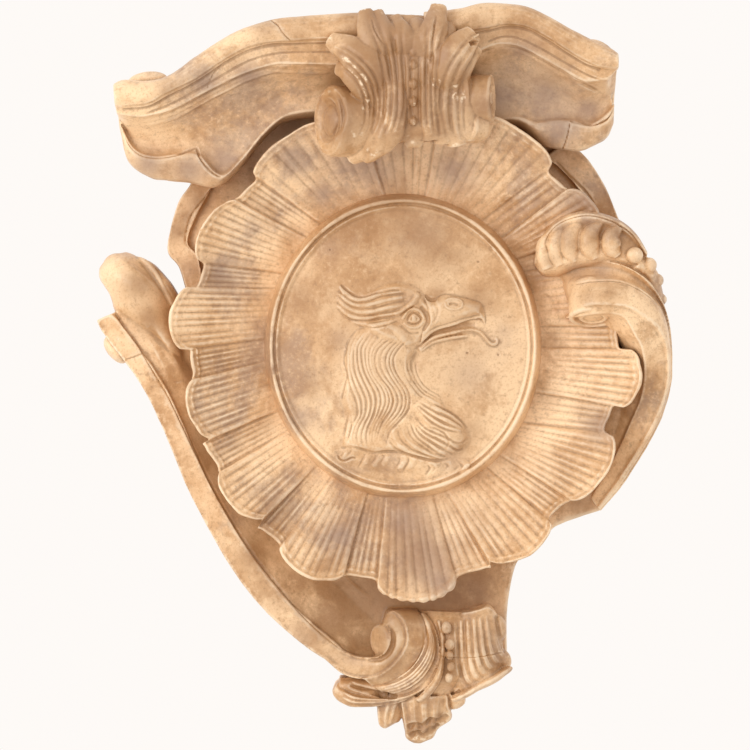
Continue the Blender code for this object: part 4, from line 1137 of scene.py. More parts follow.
@dataclass(frozen=True)
class Frill(Carving):
    """The scalloped frill round the medallion: reeded lobes and sunk panels with a curled lip."""

    name: str = "frill"
    cell: float = 0.00068
    triangles: int = 195000
    back: float = 0.012
    relax_rounds: int = 1
    lip_depth: float = 0.071
    lip_width: float = 0.0030
    undercut: float = 0.013
    panel_drop: float = 0.0068
    flare: float = 0.65
    bow: float = 0.035
    round_off: float = 0.018
    crown: float = 0.0034
    reed_rise: float = 0.0017
    samples: int = 7
    panels: tuple[Panel, ...] = (
        Panel(-10.3, -7.6, 225, 6),
        Panel(8.9, 9.4, 246, 9, True),
        Panel(39.6, 34.4, 225, 3),
        Panel(46.2, 45.5, 237, 6, True),
        Panel(60.0, 55.0, 222, 3),
        Panel(66.0, 61.0, 236, 8, True),
        Panel(84.9, 82.3, 214, 3),
        Panel(90.8, 90.8, 239, 8, True),
        Panel(105.8, 107.4, 217, 4),
        Panel(113.1, 120.6, 239, 9, True),
        Panel(132.8, 135.5, 225, 4),
        Panel(140.0, 143.1, 243, 8, True),
        Panel(158.3, 161.8, 236, 4),
        Panel(167.1, 167.9, 255, 8, True, True),
        Panel(186.3, 187.3, 235, 4),
        Panel(194.4, 194.9, 249, 8, True),
        Panel(211.5, 210.8, 232, 4),
        Panel(218.8, 218.5, 234, 8, True),
        Panel(235.7, 236.2, 221, 5),
        Panel(244.1, 244.8, 224, 9, True),
        Panel(261.0, 264.4, 212, 5),
        Panel(269.0, 272.8, 234, 9, True),
        Panel(285.5, 292.0, 213, 4),
        Panel(292.6, 298.6, 233, 9, True),
        Panel(311.2, 315.5, 221, 4),
        Panel(318.7, 323.3, 240, 9, True),
    )

    def spokes(self) -> dict[str, np.ndarray]:
        """Lay spokes over every panel.

        Returns:
            The spokes' foot and rim places in grid steps, how far each is sunk in metres, its place
            across its reed from -1 to 1, whether it belongs to a rolled lobe, and two runs of
            uneven values from -1 to 1.
        """
        foot_wide, foot_high = MEDALLION_WIDTH / STEP / 2, MEDALLION_HEIGHT / STEP / 2
        wander = np.random.default_rng(7)
        rows = []
        for index, panel in enumerate(self.panels):
            after = self.panels[(index + 1) % len(self.panels)]
            turn = 360 if index == len(self.panels) - 1 else 0
            sway = wander.uniform(-0.2, 0.2, panel.reeds + 1)
            for share in np.linspace(0.012, 0.988, panel.reeds * self.samples):
                rim_turn = after.rim_start + turn - panel.rim_start
                foot_turn = after.foot_start + turn - panel.foot_start
                rim_angle = math.radians(panel.rim_start + rim_turn * share)
                foot_angle = math.radians(panel.foot_start + foot_turn * share)
                side = abs(2 * share - 1)
                middle = 1 - side**2
                if panel.raised:
                    reach = panel.reach * (1 + self.bow * (middle - 1) - self.round_off * side**8)
                    sunk = -self.crown * middle + 0.4 * self.crown * side**8
                else:
                    reach = panel.reach * (1 + 0.5 * self.round_off * side**6)
                    sunk = self.panel_drop - 0.2 * self.crown * middle
                place = share * panel.reeds
                place += float(np.interp(place, np.arange(panel.reeds + 1), sway))
                across = 2 * (place - math.floor(place)) - 1
                rows.append((
                    foot_wide * math.sin(foot_angle), foot_high * math.cos(foot_angle),
                    reach * math.sin(rim_angle), reach * math.cos(rim_angle), sunk, across, panel.rolled,
                ))
        table = np.array(rows)
        knots = np.arange(0, len(table) + 9, 9)
        uneven = [np.interp(np.arange(len(table)), knots, wander.uniform(-1, 1, len(knots)))
                  for _ in range(2)]
        return {"feet": table[:, :2], "rims": table[:, 2:4], "sunk": table[:, 4],
                "across": table[:, 5], "rolled": table[:, 6], "edge": uneven[0], "band": uneven[1]}

    def form(self, forms: Forms) -> None:
        """Add the frill as one ring, from the medallion's foot over the lip and back to the wall."""
        spokes = self.spokes()
        feet, sunk, across = spokes["feet"], spokes["sunk"], spokes["across"]
        lengths = np.linalg.norm(spokes["rims"] - feet, axis=1)
        ways = (spokes["rims"] - feet) / lengths[:, None]
        lengths = lengths + 0.9 * spokes["edge"]
        reed = self.reed_rise * (np.cos(np.clip(across, -1, 1) * math.pi / 2) ** 0.9 - 0.6)

        def ring(share: float, inset: np.ndarray | float, depth: np.ndarray | float) -> np.ndarray:
            """A ring at a share of the spokes' length, less an inset, at a depth in metres."""
            flat = feet * STEP + ways * (lengths * STEP * share - inset)[:, None]
            deep = np.broadcast_to(-np.asarray(depth), len(flat))
            return np.stack((flat[:, 0], deep, flat[:, 1]), axis=1)

        def face(share: float) -> np.ndarray:
            """The depth of the lobes and panels at a share of the spokes' length."""
            rise = (1 - self.flare) * share + self.flare * share**2
            level = FRILL_FOOT_DEPTH + (self.lip_depth - FRILL_FOOT_DEPTH) * rise
            return level - sunk * (0.15 + 0.85 * share)

        lip = face(1.0)
        rolled = spokes["rolled"] > 0.5
        band = self.lip_width + 0.0005 * spokes["band"]
        rings = [ring(-0.25, 0.0, FRILL_FOOT_DEPTH)]
        for share in (0.0, 0.05, 0.12, 0.22, 0.34, 0.46, 0.58, 0.68, 0.76, 0.83, 0.89):
            rings.append(ring(share, 0.0, face(share) + reed * min(1.0, 0.15 + 1.2 * share)))
        rings.append(ring(1.0, band * 1.5, face(0.95) + reed * 0.7))
        rings.append(ring(1.0, band * 1.0, face(0.97) + np.where(rolled, reed, reed * 0.35 - 0.0004)))
        rings.append(ring(1.0, band * 0.72, face(0.985) + np.where(rolled, reed, 0.0)))
        rings.append(ring(1.0, band * 0.45, lip + np.where(rolled, reed - 0.0006, 0.0004)))
        rings.append(ring(1.0, band * 0.15, lip + np.where(rolled, reed - 0.0018, -0.0001)))
        rings.append(ring(1.0, np.where(rolled, -reed * 0.6, 0.0), lip - 0.0016))
        rings.append(ring(1.0, np.where(rolled, -reed * 0.8, 0.0), lip - 0.0036))
        rings.append(ring(1.0, 0.0012, lip - 0.0052))
        rings.append(ring(1.0, self.undercut * 0.45, lip - 0.012))
        rings.append(ring(1.0, self.undercut * 0.8, lip * 0.62))
        rings.append(ring(1.0, self.undercut, lip * 0.4))
        rings.append(ring(1.0, self.undercut * 1.15, BEHIND * LEVEL))
        forms.loft(np.array(rings[::-1]))

    def stains(self) -> list[Stain]:
        """The darkened lobes at the top and the foot, and painted shade browning the sunk panels towards the
        lip.
        """
        smoky = ((372, 165, 36), (345, 175, 26), (455, 170, 30), (425, 555, 38), (405, 520, 30),
                 (340, 535, 28), (582, 205, 24), (220, 275, 20), (600, 425, 22), (300, 160, 20),
                 (325, 195, 16), (440, 580, 18))
        browned = ((580, 215, 26), (278, 510, 24), (330, 565, 20), (607, 290, 18), (540, 165, 14),
                   (205, 205, 16), (480, 520, 24), (560, 470, 22), (415, 550, 40))
        # Painted shade: brown in each sunk panel towards the lip, where the raised lobes beside it shade it.
        painted_shade = []
        for panel, after in zip(self.panels, (*self.panels[1:], self.panels[0])):
            turn = math.radians((panel.rim_start + after.rim_start) / 2)
            if not panel.raised:
                for share in (0.72, 0.88, 0.97):
                    place = (panel.reach * share * math.sin(turn), panel.reach * share * math.cos(turn))
                    painted_shade.append(Stain(place, 13, Patina.BROWNED, 0.38))
        return stains(smoky, Patina.SMOKY, 0.9) + stains(browned, Patina.BROWNED, 0.55) + painted_shade

    def chips(self) -> list[Chip]:
        """Flakes broken from the lip, and small bruises on the lobes."""
        seen = (((285, 496), 4, 1.8), ((270, 511), 3, 1.6), ((559, 509), 6, 2.0), ((611, 420), 5, 1.8),
                ((470, 570), 2.5, 0.8), ((534, 507), 2, 0.8), ((172, 330), 3, 1.0), ((187, 382), 4, 1.4),
                ((258, 528), 4, 1.2), ((352, 583), 4, 1.2), ((203, 232), 3, 1.0), ((606, 372), 4, 1.4),
                ((240, 188), 3, 1.0), ((620, 345), 5, 1.8), ((520, 547), 3, 1.0), ((186, 400), 3, 1.2),
                ((280, 548), 4, 1.2), ((330, 580), 3, 1.0), ((199, 425), 3, 1.2), ((212, 455), 3, 1.0),
                ((232, 505), 3, 1.2), ((176, 300), 3, 1.0), ((196, 250), 3, 1.0), ((210, 205), 3, 1.0),
                ((225, 195), 3, 1.0), ((570, 175), 3, 1.0), ((612, 215), 3, 1.0), ((590, 470), 3, 1.2),
                ((613, 452), 3, 1.2), ((548, 527), 3, 1.2), ((395, 577), 2, 0.8), ((265, 160), 3, 1.0))
        return FRONT_SHEET.chips(seen)


@dataclass(frozen=True)
class Medallion(Carving):
    """The oval boss with its rim and domed field, and the bird's head carved on it in low relief."""

    name: str = "medallion"
    cell: float = 0.00058
    triangles: int = 180000
    back: float = 0.030
    relax_rounds: int = 1
    rim: float = 0.0055
    relief: float = 6.0
    sides: int = 200

    def form(self, forms: Forms) -> None:
        """Add the boss as one turned oval."""
        half_wide, half_high = MEDALLION_WIDTH / 2, MEDALLION_HEIGHT / 2
        top = MEDALLION_DEPTH - 0.004
        profile = [
            (0.001, 0.026), (-0.001, FRILL_FOOT_DEPTH - 0.004), (0.0, FRILL_FOOT_DEPTH),
            (0.0010, FRILL_FOOT_DEPTH + 0.005), (self.rim * 0.42, top - 0.006),
            (self.rim * 0.62, top - 0.0012), (self.rim * 0.74, top), (self.rim * 0.95, top),
            (self.rim * 1.05, top - 0.0006), (self.rim * 1.16, top - 0.0030),
            (self.rim * 1.30, top - 0.0030), (self.rim * 1.5, top - 0.0016),
        ]
        start = 1 - self.rim * 1.9 / half_wide
        for share in np.linspace(start, 0.01, 16):
            profile.append(((1 - share) * half_wide, MEDALLION_DEPTH - FIELD_FALL * share**2))
        angles = np.arange(self.sides) * math.tau / self.sides
        forms.loft([
            np.stack(((half_wide - inset) * np.sin(angles), np.full(self.sides, -depth),
                      (half_wide - inset) / half_wide * half_high * np.cos(angles)), axis=1)
            for inset, depth in profile
        ])

    def mounds(self) -> list[Mound]:
        """Raise the bird's neck softly, the feathers under it, and its head and beak crisply."""
        neck = [(330, 500), (420, 440), (560, 420), (680, 480), (760, 620), (745, 700), (738, 760),
                (745, 820), (768, 875), (800, 918), (860, 950), (915, 972), (945, 1015), (970, 1052),
                (1015, 1083), (1068, 1122), (1108, 1172), (1135, 1222), (1148, 1268), (1136, 1315),
                (1102, 1355), (1050, 1390), (980, 1420), (900, 1435), (800, 1420), (700, 1400),
                (600, 1385), (500, 1400), (400, 1390), (300, 1385), (235, 1350), (215, 1290), (235, 1200),
                (238, 1120), (222, 1050), (205, 980), (212, 900), (225, 830), (215, 760), (220, 690),
                (242, 620), (280, 550)]
        head = [(212, 160), (240, 198), (290, 234), (345, 243), (400, 236), (450, 214), (490, 184),
                (540, 160), (600, 150), (670, 158), (735, 180), (785, 208), (815, 247), (845, 283),
                (875, 291), (908, 273), (945, 253), (1000, 255), (1080, 270), (1150, 290), (1210, 308),
                (1232, 345), (1243, 395), (1240, 462), (1222, 425), (1160, 412), (1100, 430), (1020, 460),
                (950, 478), (890, 495), (850, 528), (808, 580), (768, 628), (720, 640), (650, 620),
                (580, 600), (500, 570), (430, 530), (390, 500), (330, 462), (260, 428), (212, 385),
                (188, 335), (198, 300), (188, 258), (204, 225), (196, 190)]
        hem = [(205, 1330), (290, 1320), (420, 1345), (560, 1350), (700, 1340), (860, 1360), (1000, 1370),
               (1085, 1350), (1070, 1400), (1035, 1440), (1010, 1480), (960, 1475), (900, 1500), (830, 1505),
               (750, 1525), (670, 1515), (590, 1525), (510, 1510), (430, 1505), (350, 1480), (280, 1470),
               (225, 1440), (198, 1395)]
        beak = [(800, 240), (845, 283), (875, 291), (908, 273), (945, 253), (1000, 255), (1080, 270),
                (1150, 290), (1210, 308), (1232, 345), (1243, 395), (1240, 462), (1222, 425), (1160, 412),
                (1100, 430), (1020, 460), (950, 478), (890, 495), (850, 528), (808, 580), (790, 590),
                (800, 520), (840, 430), (840, 340)]
        return [
            Mound(smooth(BIRD_SHEET.place(neck), 3), self.relief * 0.66, 10, soft=True),
            Mound(smooth(BIRD_SHEET.place(hem), 3), self.relief * 0.22, 8, soft=True),
            Mound(smooth(BIRD_SHEET.place(head), 3), self.relief * 0.42, 8, soft=True),
            Mound(smooth(BIRD_SHEET.place(beak), 3), self.relief * 0.34, 5),
        ]

    def strokes(self) -> list[Stroke]:
        """Model the head's swellings, then cut its locks, eye, beak and feathers."""
        return (self.swellings() + self.beak() + self.eye() + self.crest_locks() + self.neck_locks()
                + self.chest_locks() + self.marks())

    def swellings(self) -> list[Stroke]:
        """The broad rounds of crown, cheek, beak, neck and chest, and the hollow at the throat."""
        drawn = (
            ([(380, 330), (520, 300), (660, 270)], 16, 1.7), ([(560, 440), (680, 510), (730, 600)], 14, 1.3),
            ([(880, 370), (1000, 345), (1120, 350), (1205, 375)], 11, 1.8),
            ([(620, 560), (510, 680), (480, 820), (560, 980), (570, 1120), (520, 1240)], 24, 2.6),
            ([(770, 1000), (880, 1120), (960, 1240), (940, 1330)], 20, 2.0),
            ([(560, 1250), (700, 1290), (840, 1320)], 15, 1.2),
            ([(690, 1060), (760, 1130), (800, 1190)], 7, -1.4),
            ([(770, 655), (730, 720), (710, 800)], 8, -0.9),
        )
        return BIRD_SHEET.strokes(drawn, 0.35)

    def beak(self) -> list[Stroke]:
        """The upper beak's ridge, the mouth, the lower beak with its curl, and the nostril."""
        drawn = (
            ([(775, 612), (815, 565), (855, 522), (905, 492), (965, 474), (1040, 450), (1110, 427),
              (1180, 408), (1225, 412), (1240, 440)], 1.9, 1.3),
            ([(785, 625), (830, 580), (870, 540), (940, 515), (1020, 492), (1100, 468), (1180, 462)], 4.2,
             -2.0),
            ([(775, 640), (815, 600), (865, 560), (925, 537), (1000, 520), (1100, 500), (1175, 502),
              (1225, 530), (1262, 575), (1292, 600), (1322, 596), (1330, 572), (1314, 558)], 2.1, 2.4),
            ([(780, 652), (830, 612), (890, 582), (960, 565), (1060, 548), (1130, 540)], 2.0, 1.7),
            ([(790, 640), (850, 594), (930, 560), (1020, 540), (1110, 524)], 0.9, -1.1, Cut.VEE),
            ([(872, 300), (905, 345), (900, 405), (870, 455)], 2.4, -0.6),
            ([(960, 300), (985, 283), (1030, 282), (1072, 300), (1080, 330), (1050, 352), (1000, 354),
              (965, 335), (958, 305)], 1.5, 0.8),
            ([(985, 320), (1020, 312), (1055, 325)], 2.4, -1.5),
            ([(815, 250), (850, 284), (900, 288)], 2.6, -0.8),
        )
        return BIRD_SHEET.strokes(drawn, 0.15)

    def eye(self) -> list[Stroke]:
        """The eye: a ball between two lids, the brow that rises over it, and the hollow before it."""
        drawn = (
            ([(690, 440), (705, 400), (735, 378), (770, 395), (790, 425), (765, 452), (725, 458), (690, 440)],
             1.5, -1.2),
            ([(722, 418), (752, 418)], 4.0, 1.3),
            ([(655, 425), (690, 375), (735, 350), (785, 372), (815, 425)], 1.8, 1.2),
            ([(665, 448), (710, 482), (765, 480), (810, 440)], 1.6, 0.8),
            ([(600, 395), (660, 360), (715, 320), (750, 280), (770, 235)], 3.6, 1.5),
            ([(640, 398), (690, 360), (745, 325)], 1.2, -1.1),
            ([(785, 330), (825, 385), (838, 450), (805, 510)], 3.0, -1.2),
            ([(640, 470), (700, 520), (780, 520)], 2.6, -0.6),
        )
        return BIRD_SHEET.strokes(drawn, 0.1)

    def crest_locks(self) -> list[Stroke]:
        """The swept-back tufts of the crown."""
        guides = (
            [(640, 215), (570, 222), (490, 240), (400, 266), (330, 262), (270, 225), (216, 172)],
            [(690, 240), (600, 252), (500, 266), (420, 296), (330, 306), (260, 270), (200, 222)],
            [(700, 292), (620, 304), (540, 322), (450, 346), (340, 348), (260, 312), (194, 252)],
            [(660, 350), (600, 366), (520, 380), (420, 400), (320, 390), (240, 352), (190, 300)],
            [(630, 400), (570, 412), (500, 418), (400, 436), (310, 432), (240, 396), (200, 345)],
            [(630, 440), (590, 470), (530, 492), (470, 496), (410, 476), (340, 450)],
        )
        strokes = []
        for upper, lower in zip(guides[:-1], guides[1:]):
            lines = [BIRD_SHEET.place(line) for line in fan(upper, lower, 5)]
            strokes += [Stroke(lines[0], 1.8, -1.0, Cut.ROUND, 0.3),
                        Stroke(lines[2], 2.2, 0.8, Cut.ROUND, 0.3),
                        Stroke(lines[3], 1.1, -0.35, Cut.ROUND, 0.4)]
        return strokes

    def neck_locks(self) -> list[Stroke]:
        """The long waving locks down the neck."""
        guides = (
            [(700, 560), (625, 640), (590, 720), (620, 820), (690, 920), (708, 1000), (690, 1080),
             (620, 1160), (560, 1230), (540, 1320)],
            [(640, 560), (560, 650), (540, 740), (580, 840), (640, 930), (660, 1010), (630, 1090),
             (560, 1170), (520, 1240), (515, 1330)],
            [(570, 560), (480, 640), (462, 730), (490, 820), (560, 910), (592, 990), (572, 1070), (520, 1150),
             (485, 1240), (480, 1320)],
            [(490, 545), (430, 640), (425, 730), (450, 820), (515, 910), (540, 1000), (505, 1100),
             (460, 1180), (445, 1260), (460, 1340)],
            [(430, 530), (370, 620), (368, 700), (390, 800), (440, 900), (470, 980), (460, 1080), (420, 1180),
             (400, 1260), (420, 1330)],
            [(380, 515), (320, 600), (310, 700), (320, 800), (360, 900), (400, 1000), (392, 1100),
             (350, 1180), (330, 1260), (350, 1330)],
            [(335, 500), (272, 590), (258, 700), (262, 800), (285, 900), (325, 1000), (338, 1100),
             (300, 1180), (280, 1260), (300, 1320)],
        )
        strokes = []
        for index, (front, behind) in enumerate(zip(guides[:-1], guides[1:])):
            lines = [BIRD_SHEET.place(line) for line in fan(front, behind, 5)]
            depth = (1.7, 0.8, 1.4, 0.7, 1.2, 0.6)[index]
            strokes += [Stroke(lines[0], 1.9, -0.55 * depth, Cut.ROUND, 0.3),
                        Stroke(lines[1], 1.9, 0.45, Cut.ROUND, 0.4),
                        Stroke(lines[2], 1.4, -0.38 * depth, Cut.ROUND, 0.45),
                        Stroke(lines[3], 1.9, 0.55, Cut.ROUND, 0.4)]
        strokes.append(Stroke(BIRD_SHEET.place(guides[-1]), 2.2, -0.6, Cut.ROUND, 0.3))
        wisps = ([(262, 830), (240, 920), (225, 990)], [(272, 1080), (255, 1180), (240, 1260)],
                 [(250, 640), (240, 720), (252, 800)], [(300, 1120), (285, 1200), (262, 1290)])
        return strokes + BIRD_SHEET.strokes([(wisp, 1.6, -0.8) for wisp in wisps], 0.4)

    def chest_locks(self) -> list[Stroke]:
        """The throat's curls and the locks that sweep over the chest to the ragged feathers."""
        throat = fan([(668, 700), (672, 790), (715, 880), (780, 960), (850, 1005), (940, 1050)],
                     [(748, 720), (756, 800), (795, 880), (850, 930), (900, 958), (935, 985)], 4)
        upper = fan([(745, 975), (830, 1010), (930, 1055), (1020, 1100), (1090, 1165), (1130, 1235)],
                    [(740, 1030), (800, 1100), (880, 1165), (960, 1205), (1050, 1222), (1120, 1230)], 4)
        lower = fan([(735, 1080), (775, 1160), (850, 1215), (950, 1255), (1040, 1300), (1090, 1340)],
                    [(715, 1090), (725, 1180), (760, 1260), (830, 1320), (910, 1380), (980, 1410)], 4)
        skirt = fan([(560, 1200), (560, 1265), (600, 1330), (680, 1375), (780, 1405), (880, 1430)],
                    [(690, 1180), (715, 1250), (765, 1300), (820, 1340), (880, 1380), (960, 1405)], 3)
        strokes = []
        for lines in (throat, upper, lower, skirt):
            between = [(near + far) / 2 for near, far in zip(lines, lines[1:])]
            strokes += BIRD_SHEET.strokes([(line, 1.9, -0.6) for line in lines], 0.4)
            strokes += BIRD_SHEET.strokes([(line, 2.4, 0.6) for line in between], 0.4)
        curls = ([(830, 1190), (900, 1200), (960, 1240), (985, 1295), (960, 1350)],
                 [(985, 1270), (1030, 1300), (1085, 1300), (1125, 1265)],
                 [(990, 1320), (1040, 1355), (1090, 1345)])
        strokes += BIRD_SHEET.strokes([(line, 1.7, -0.7) for line in curls], 0.4)
        return strokes + self.hem_feathers()

    def hem_feathers(self) -> list[Stroke]:
        """The short ragged feathers under the neck, and the dark line over them."""
        line = [(215, 1340), (300, 1330), (380, 1352), (460, 1372), (560, 1362), (660, 1372), (760, 1400),
                (860, 1425), (960, 1425), (1050, 1400)]
        strokes = [Stroke(BIRD_SHEET.place(line), 2.4, -0.8, Cut.ROUND, 0.2)]
        uneven = np.random.default_rng(12)
        tops = evenly(line, 60)
        for place in np.arange(2, 58, 5.5):
            top = tops[int(place + uneven.uniform(-2, 2))]
            lean, reach = -20 + place + uneven.uniform(-25, 25), uneven.uniform(0.55, 1.1)
            curve = [top + (0, 15), top + (lean, 65 * reach), top + (lean - 35, 120 * reach)]
            strokes.append(Stroke(BIRD_SHEET.place(curve), 2.0, -0.4, Cut.ROUND, 0.5))
            ridge = [top + (35, 20), top + (lean + 35, 60 * reach), top + (lean - 5, 125 * reach)]
            strokes.append(Stroke(BIRD_SHEET.place(ridge), 4.0, 0.9 * reach, Cut.ROUND, 0.5))
        left_curl = [(195, 1385), (215, 1420), (255, 1428), (300, 1405), (330, 1412)]
        strokes.append(Stroke(BIRD_SHEET.place(left_curl), 1.5, -1.1, Cut.ROUND, 0.2))
        return strokes

    def marks(self) -> list[Stroke]:
        """Scratches and small pits on the field."""
        scratch = FRONT_SHEET.place([(396, 530), (404, 533), (413, 540)])
        strokes = [Stroke(scratch, 0.9, -0.6, Cut.VEE)]
        for pit in ((467, 353), (498, 355), (330, 250), (478, 262)):
            middle = FRONT_SHEET.place([(pit[0] - 1, pit[1]), (pit[0] + 1, pit[1])])
            strokes.append(Stroke(middle, 1.4, -0.7, Cut.ROUND, 0.0))
        return strokes

    def stains(self) -> list[Stain]:
        """The brown clouds over and behind the bird, and the grey ones before it."""
        browned = ((350, 225, 26), (450, 250, 34), (300, 300, 26), (310, 385, 22), (400, 205, 40),
                   (285, 350, 16), (480, 300, 22), (470, 430, 16), (462, 447, 9), (345, 460, 14),
                   (375, 466, 12), (438, 293, 9))
        overall = ((390, 330, 150), (400, 225, 60))
        smoky = ((425, 232, 30), (470, 375, 26), (500, 340, 22), (300, 420, 22), (340, 340, 14),
                 (450, 460, 18), (405, 300, 12), (330, 250, 16))
        return (stains(browned, Patina.BROWNED, 0.55) + stains(overall, Patina.BROWNED, 0.42)
                + stains(smoky, Patina.SMOKY, 0.45))

    def chips(self) -> list[Chip]:
        """The flake over the cere, and bruises on the rim."""
        seen = (((443, 295), 3, 1.0), ((276, 330), 3, 0.7), ((533, 392), 3, 0.7), ((372, 477), 2.5, 0.6))
        return FRONT_SHEET.chips(seen)


@dataclass(frozen=True)
class Crest(Carving):
    """The winged crest: a roll, a fillet, a deep cove, a lower lip and the scroll eyes behind."""

    name: str = "crest"
    back: float = 0.0008
    cell: float = 0.00082
    triangles: int = 130000
    left_wing: tuple[tuple, ...] = (
        ((-20, 329), (-20, 300), (-20, 280), (-20, 232), (-20, 222), 0),
        ((-58, 329), (-60, 299), (-63, 277), (-75, 236), (-76, 228), 0),
        ((-106, 325), (-107, 298), (-114, 276), (-114, 232), (-116, 224), 0.5),
        ((-131, 322), (-130, 297), (-134, 274), (-138, 214), (-140, 206), 1.5),
        ((-160, 313), (-153, 291), (-160, 266), (-160, 188), (-163, 176), 3),
        ((-181, 302), (-175, 280), (-190, 252), (-181, 170), (-186, 158), 5),
        ((-206, 285), (-206, 260), (-210, 241), (-204, 190), (-211, 162), 6),
        ((-230, 268), (-233, 246), (-236, 230), (-226, 190), (-236, 165), 6),
        ((-253, 262), (-252, 236), (-254, 226), (-247, 188), (-252, 168), 6),
        ((-276, 263), (-274, 234), (-275, 227), (-268, 196), (-274, 184), 6),
        ((-287, 259), (-285, 236), (-284, 230), (-282, 223), (-283, 218), 6),
    )
    right_wing: tuple[tuple, ...] = (
        ((20, 330), (20, 302), (20, 282), (20, 232), (20, 222), 0),
        ((52, 333), (58, 306), (64, 286), (72, 226), (72, 218), 0),
        ((79, 339), (85, 311), (86, 293), (94, 227), (95, 219), 0.5),
        ((104, 338), (104, 315), (107, 295), (114, 228), (115, 218), 2),
        ((123, 335), (123, 312), (123, 290), (134, 222), (138, 200), 4),
        ((143, 326), (143, 301), (139, 281), (152, 224), (158, 196), 5),
        ((162, 315), (163, 288), (157, 271), (170, 223), (176, 194), 6),
        ((185, 303), (182, 277), (175, 261), (187, 220), (189, 199), 6),
        ((204, 295), (202, 273), (196, 262), (204, 232), (203, 207), 6),
        ((213, 289), (213, 273), (203, 263), (210, 241), (210, 222), 6),
    )

    @staticmethod
    def section(top: Sequence[float], roll: Sequence[float], fillet: Sequence[float],
                lip: Sequence[float], edge: Sequence[float], rise: float) -> Path2:
        """One cross-section of a wing.

        Args:
            top: the top edge.
            roll: the top roll's lower line.
            fillet: the fillet's lower line.
            lip: the lip's upper line.
            edge: the lip's lower edge.
            rise: how far the lip stands out of the cove, in levels.

        Returns:
            Grid points from the wall at the top, over the front, to the wall under the lip.
        """
        return (
            (*mix(top, roll, 0.35), BEHIND), (*mix(top, roll, 0.30), 38), (*mix(top, roll, 0.04), 62),
            (*top, 82), (*mix(top, roll, 0.02), 92), (*mix(top, roll, 0.25), 99),
            (*mix(top, roll, 0.62), 100), (*mix(top, roll, 0.93), 97), (*roll, 93.5),
            (*mix(roll, fillet, 0.08), 91.5), (*mix(roll, fillet, 0.5), 89),
            (*mix(roll, fillet, 0.92), 88), (*fillet, 85.5), (*mix(fillet, lip, 0.10), 79),
            (*mix(fillet, lip, 0.3), 69), (*mix(fillet, lip, 0.55), 62.5), (*mix(fillet, lip, 0.8), 61.5),
            (*mix(fillet, lip, 0.96), 61.5 + 0.4 * rise), (*lip, 61.5 + rise),
            (*mix(lip, edge, 0.3), 61.5 + 1.1 * rise), (*mix(lip, edge, 0.8), 57 + rise),
            (*edge, 51 + rise), (*mix(edge, lip, 0.2), 40), (*mix(edge, lip, 0.45), 14),
            (*mix(edge, lip, 0.5), BEHIND),
        )

    def form(self, forms: Forms) -> None:
        """Add both wings and the scroll eyes that look out behind their ends."""
        for wing in (self.left_wing, self.right_wing):
            forms.sections([self.section(*station) for station in wing], spans=8, round_by=2)
        forms.egg((-254, 264, 66), (20, 9, 12), tilt=6)
        forms.egg((195, 295, 66), (16, 8, 12), tilt=-28)

    def strokes(self) -> list[Stroke]:
        """Cut the lines along the roll, the fillet and the lip, and the crest's cracks."""
        drawn = (
            ([(350, 46), (320, 46), (300, 47), (274, 49), (251, 54), (228, 66), (197, 86), (170, 99.5),
              (151, 110), (125, 112)],
             3.2, -1.1),
            ([(340, 56), (297, 56), (274, 58), (252, 64), (229, 76), (200, 93), (172, 108), (148, 117)],
             1.8, -0.6),
            ([(330, 70), (289, 69), (274, 70), (243, 80), (212, 95), (174, 115), (144, 122)], 2.2, -0.9),
            ([(330, 75), (288, 74), (272, 75), (243, 85), (213, 100), (178, 119), (148, 127)], 2.0, 0.7),
            ([(121, 122.5), (128, 142), (140, 155), (156, 159), (177, 156), (197, 148.5)], 1.5, -1.5,
             Cut.VEE),
            ([(197, 148.5), (203, 162), (212, 173), (222, 178)], 1.5, -1.8, Cut.VEE),
            ([(465, 38), (480, 36), (495, 33), (507, 31), (526, 34), (546, 45), (571, 61), (590, 71),
              (598, 74)], 2.8, -1.1),
            ([(462, 62), (478, 57), (495, 50), (514, 51), (533, 60), (558, 74), (578, 85), (600, 94)], 2.4,
             -0.9),
            ([(486, 46), (500, 41), (516, 42), (538, 52), (562, 66), (584, 78), (600, 84)], 1.6, -0.6),
            ([(569, 122), (590, 126), (606, 121), (613, 110), (612, 98)], 1.6, -2.2, Cut.VEE),
            ([(272, 24.5), (279, 30), (284, 38), (292, 46)], 0.9, -1.4, Cut.VEE),
            ([(569, 124), (565, 143), (560, 153)], 1.0, -1.4, Cut.VEE),
            ([(228, 66), (215, 78), (209, 92)], 0.8, -0.8, Cut.VEE),
        )
        return FRONT_SHEET.strokes(drawn, 0.06)

    def stains(self) -> list[Stain]:
        """Grey clouds on the right wing and over the arch, and painted shade under the left lip and under the
        arch.
        """
        # Painted shade: the grey patches from (150, 165) to (225, 160) lie in the recess under the left lip,
        # and the brown at (290, 135) in the recess under the arch.
        smoky = ((545, 95, 30), (560, 130, 26), (520, 60, 26), (500, 100, 24), (588, 110, 20), (150, 165, 20),
                 (190, 170, 22), (225, 160, 26), (250, 80, 18), (210, 85, 16))
        browned = ((300, 35, 22), (265, 35, 16), (560, 60, 22), (520, 30, 26), (480, 25, 24), (355, 25, 26),
                   (170, 90, 16), (290, 135, 16), (500, 125, 18))
        return stains(smoky, Patina.SMOKY, 0.9) + stains(browned, Patina.BROWNED, 0.5)

    def chips(self) -> list[Chip]:
        """Wear on the crest's top edge and its corners."""
        seen = (((120, 84), 4, 1.2), ((272, 25), 3.5, 1.2), ((222, 45), 3, 0.8), ((616, 62), 4, 1.2),
                ((566, 31), 4, 1.0), ((330, 22), 4, 1.2), ((197, 149), 3, 0.8), ((614, 96), 3, 1.0),
                ((123, 117), 3, 1.0), ((509, 8), 4, 1.0), ((482, 7), 3.5, 1.2))
        return FRONT_SHEET.chips(seen)


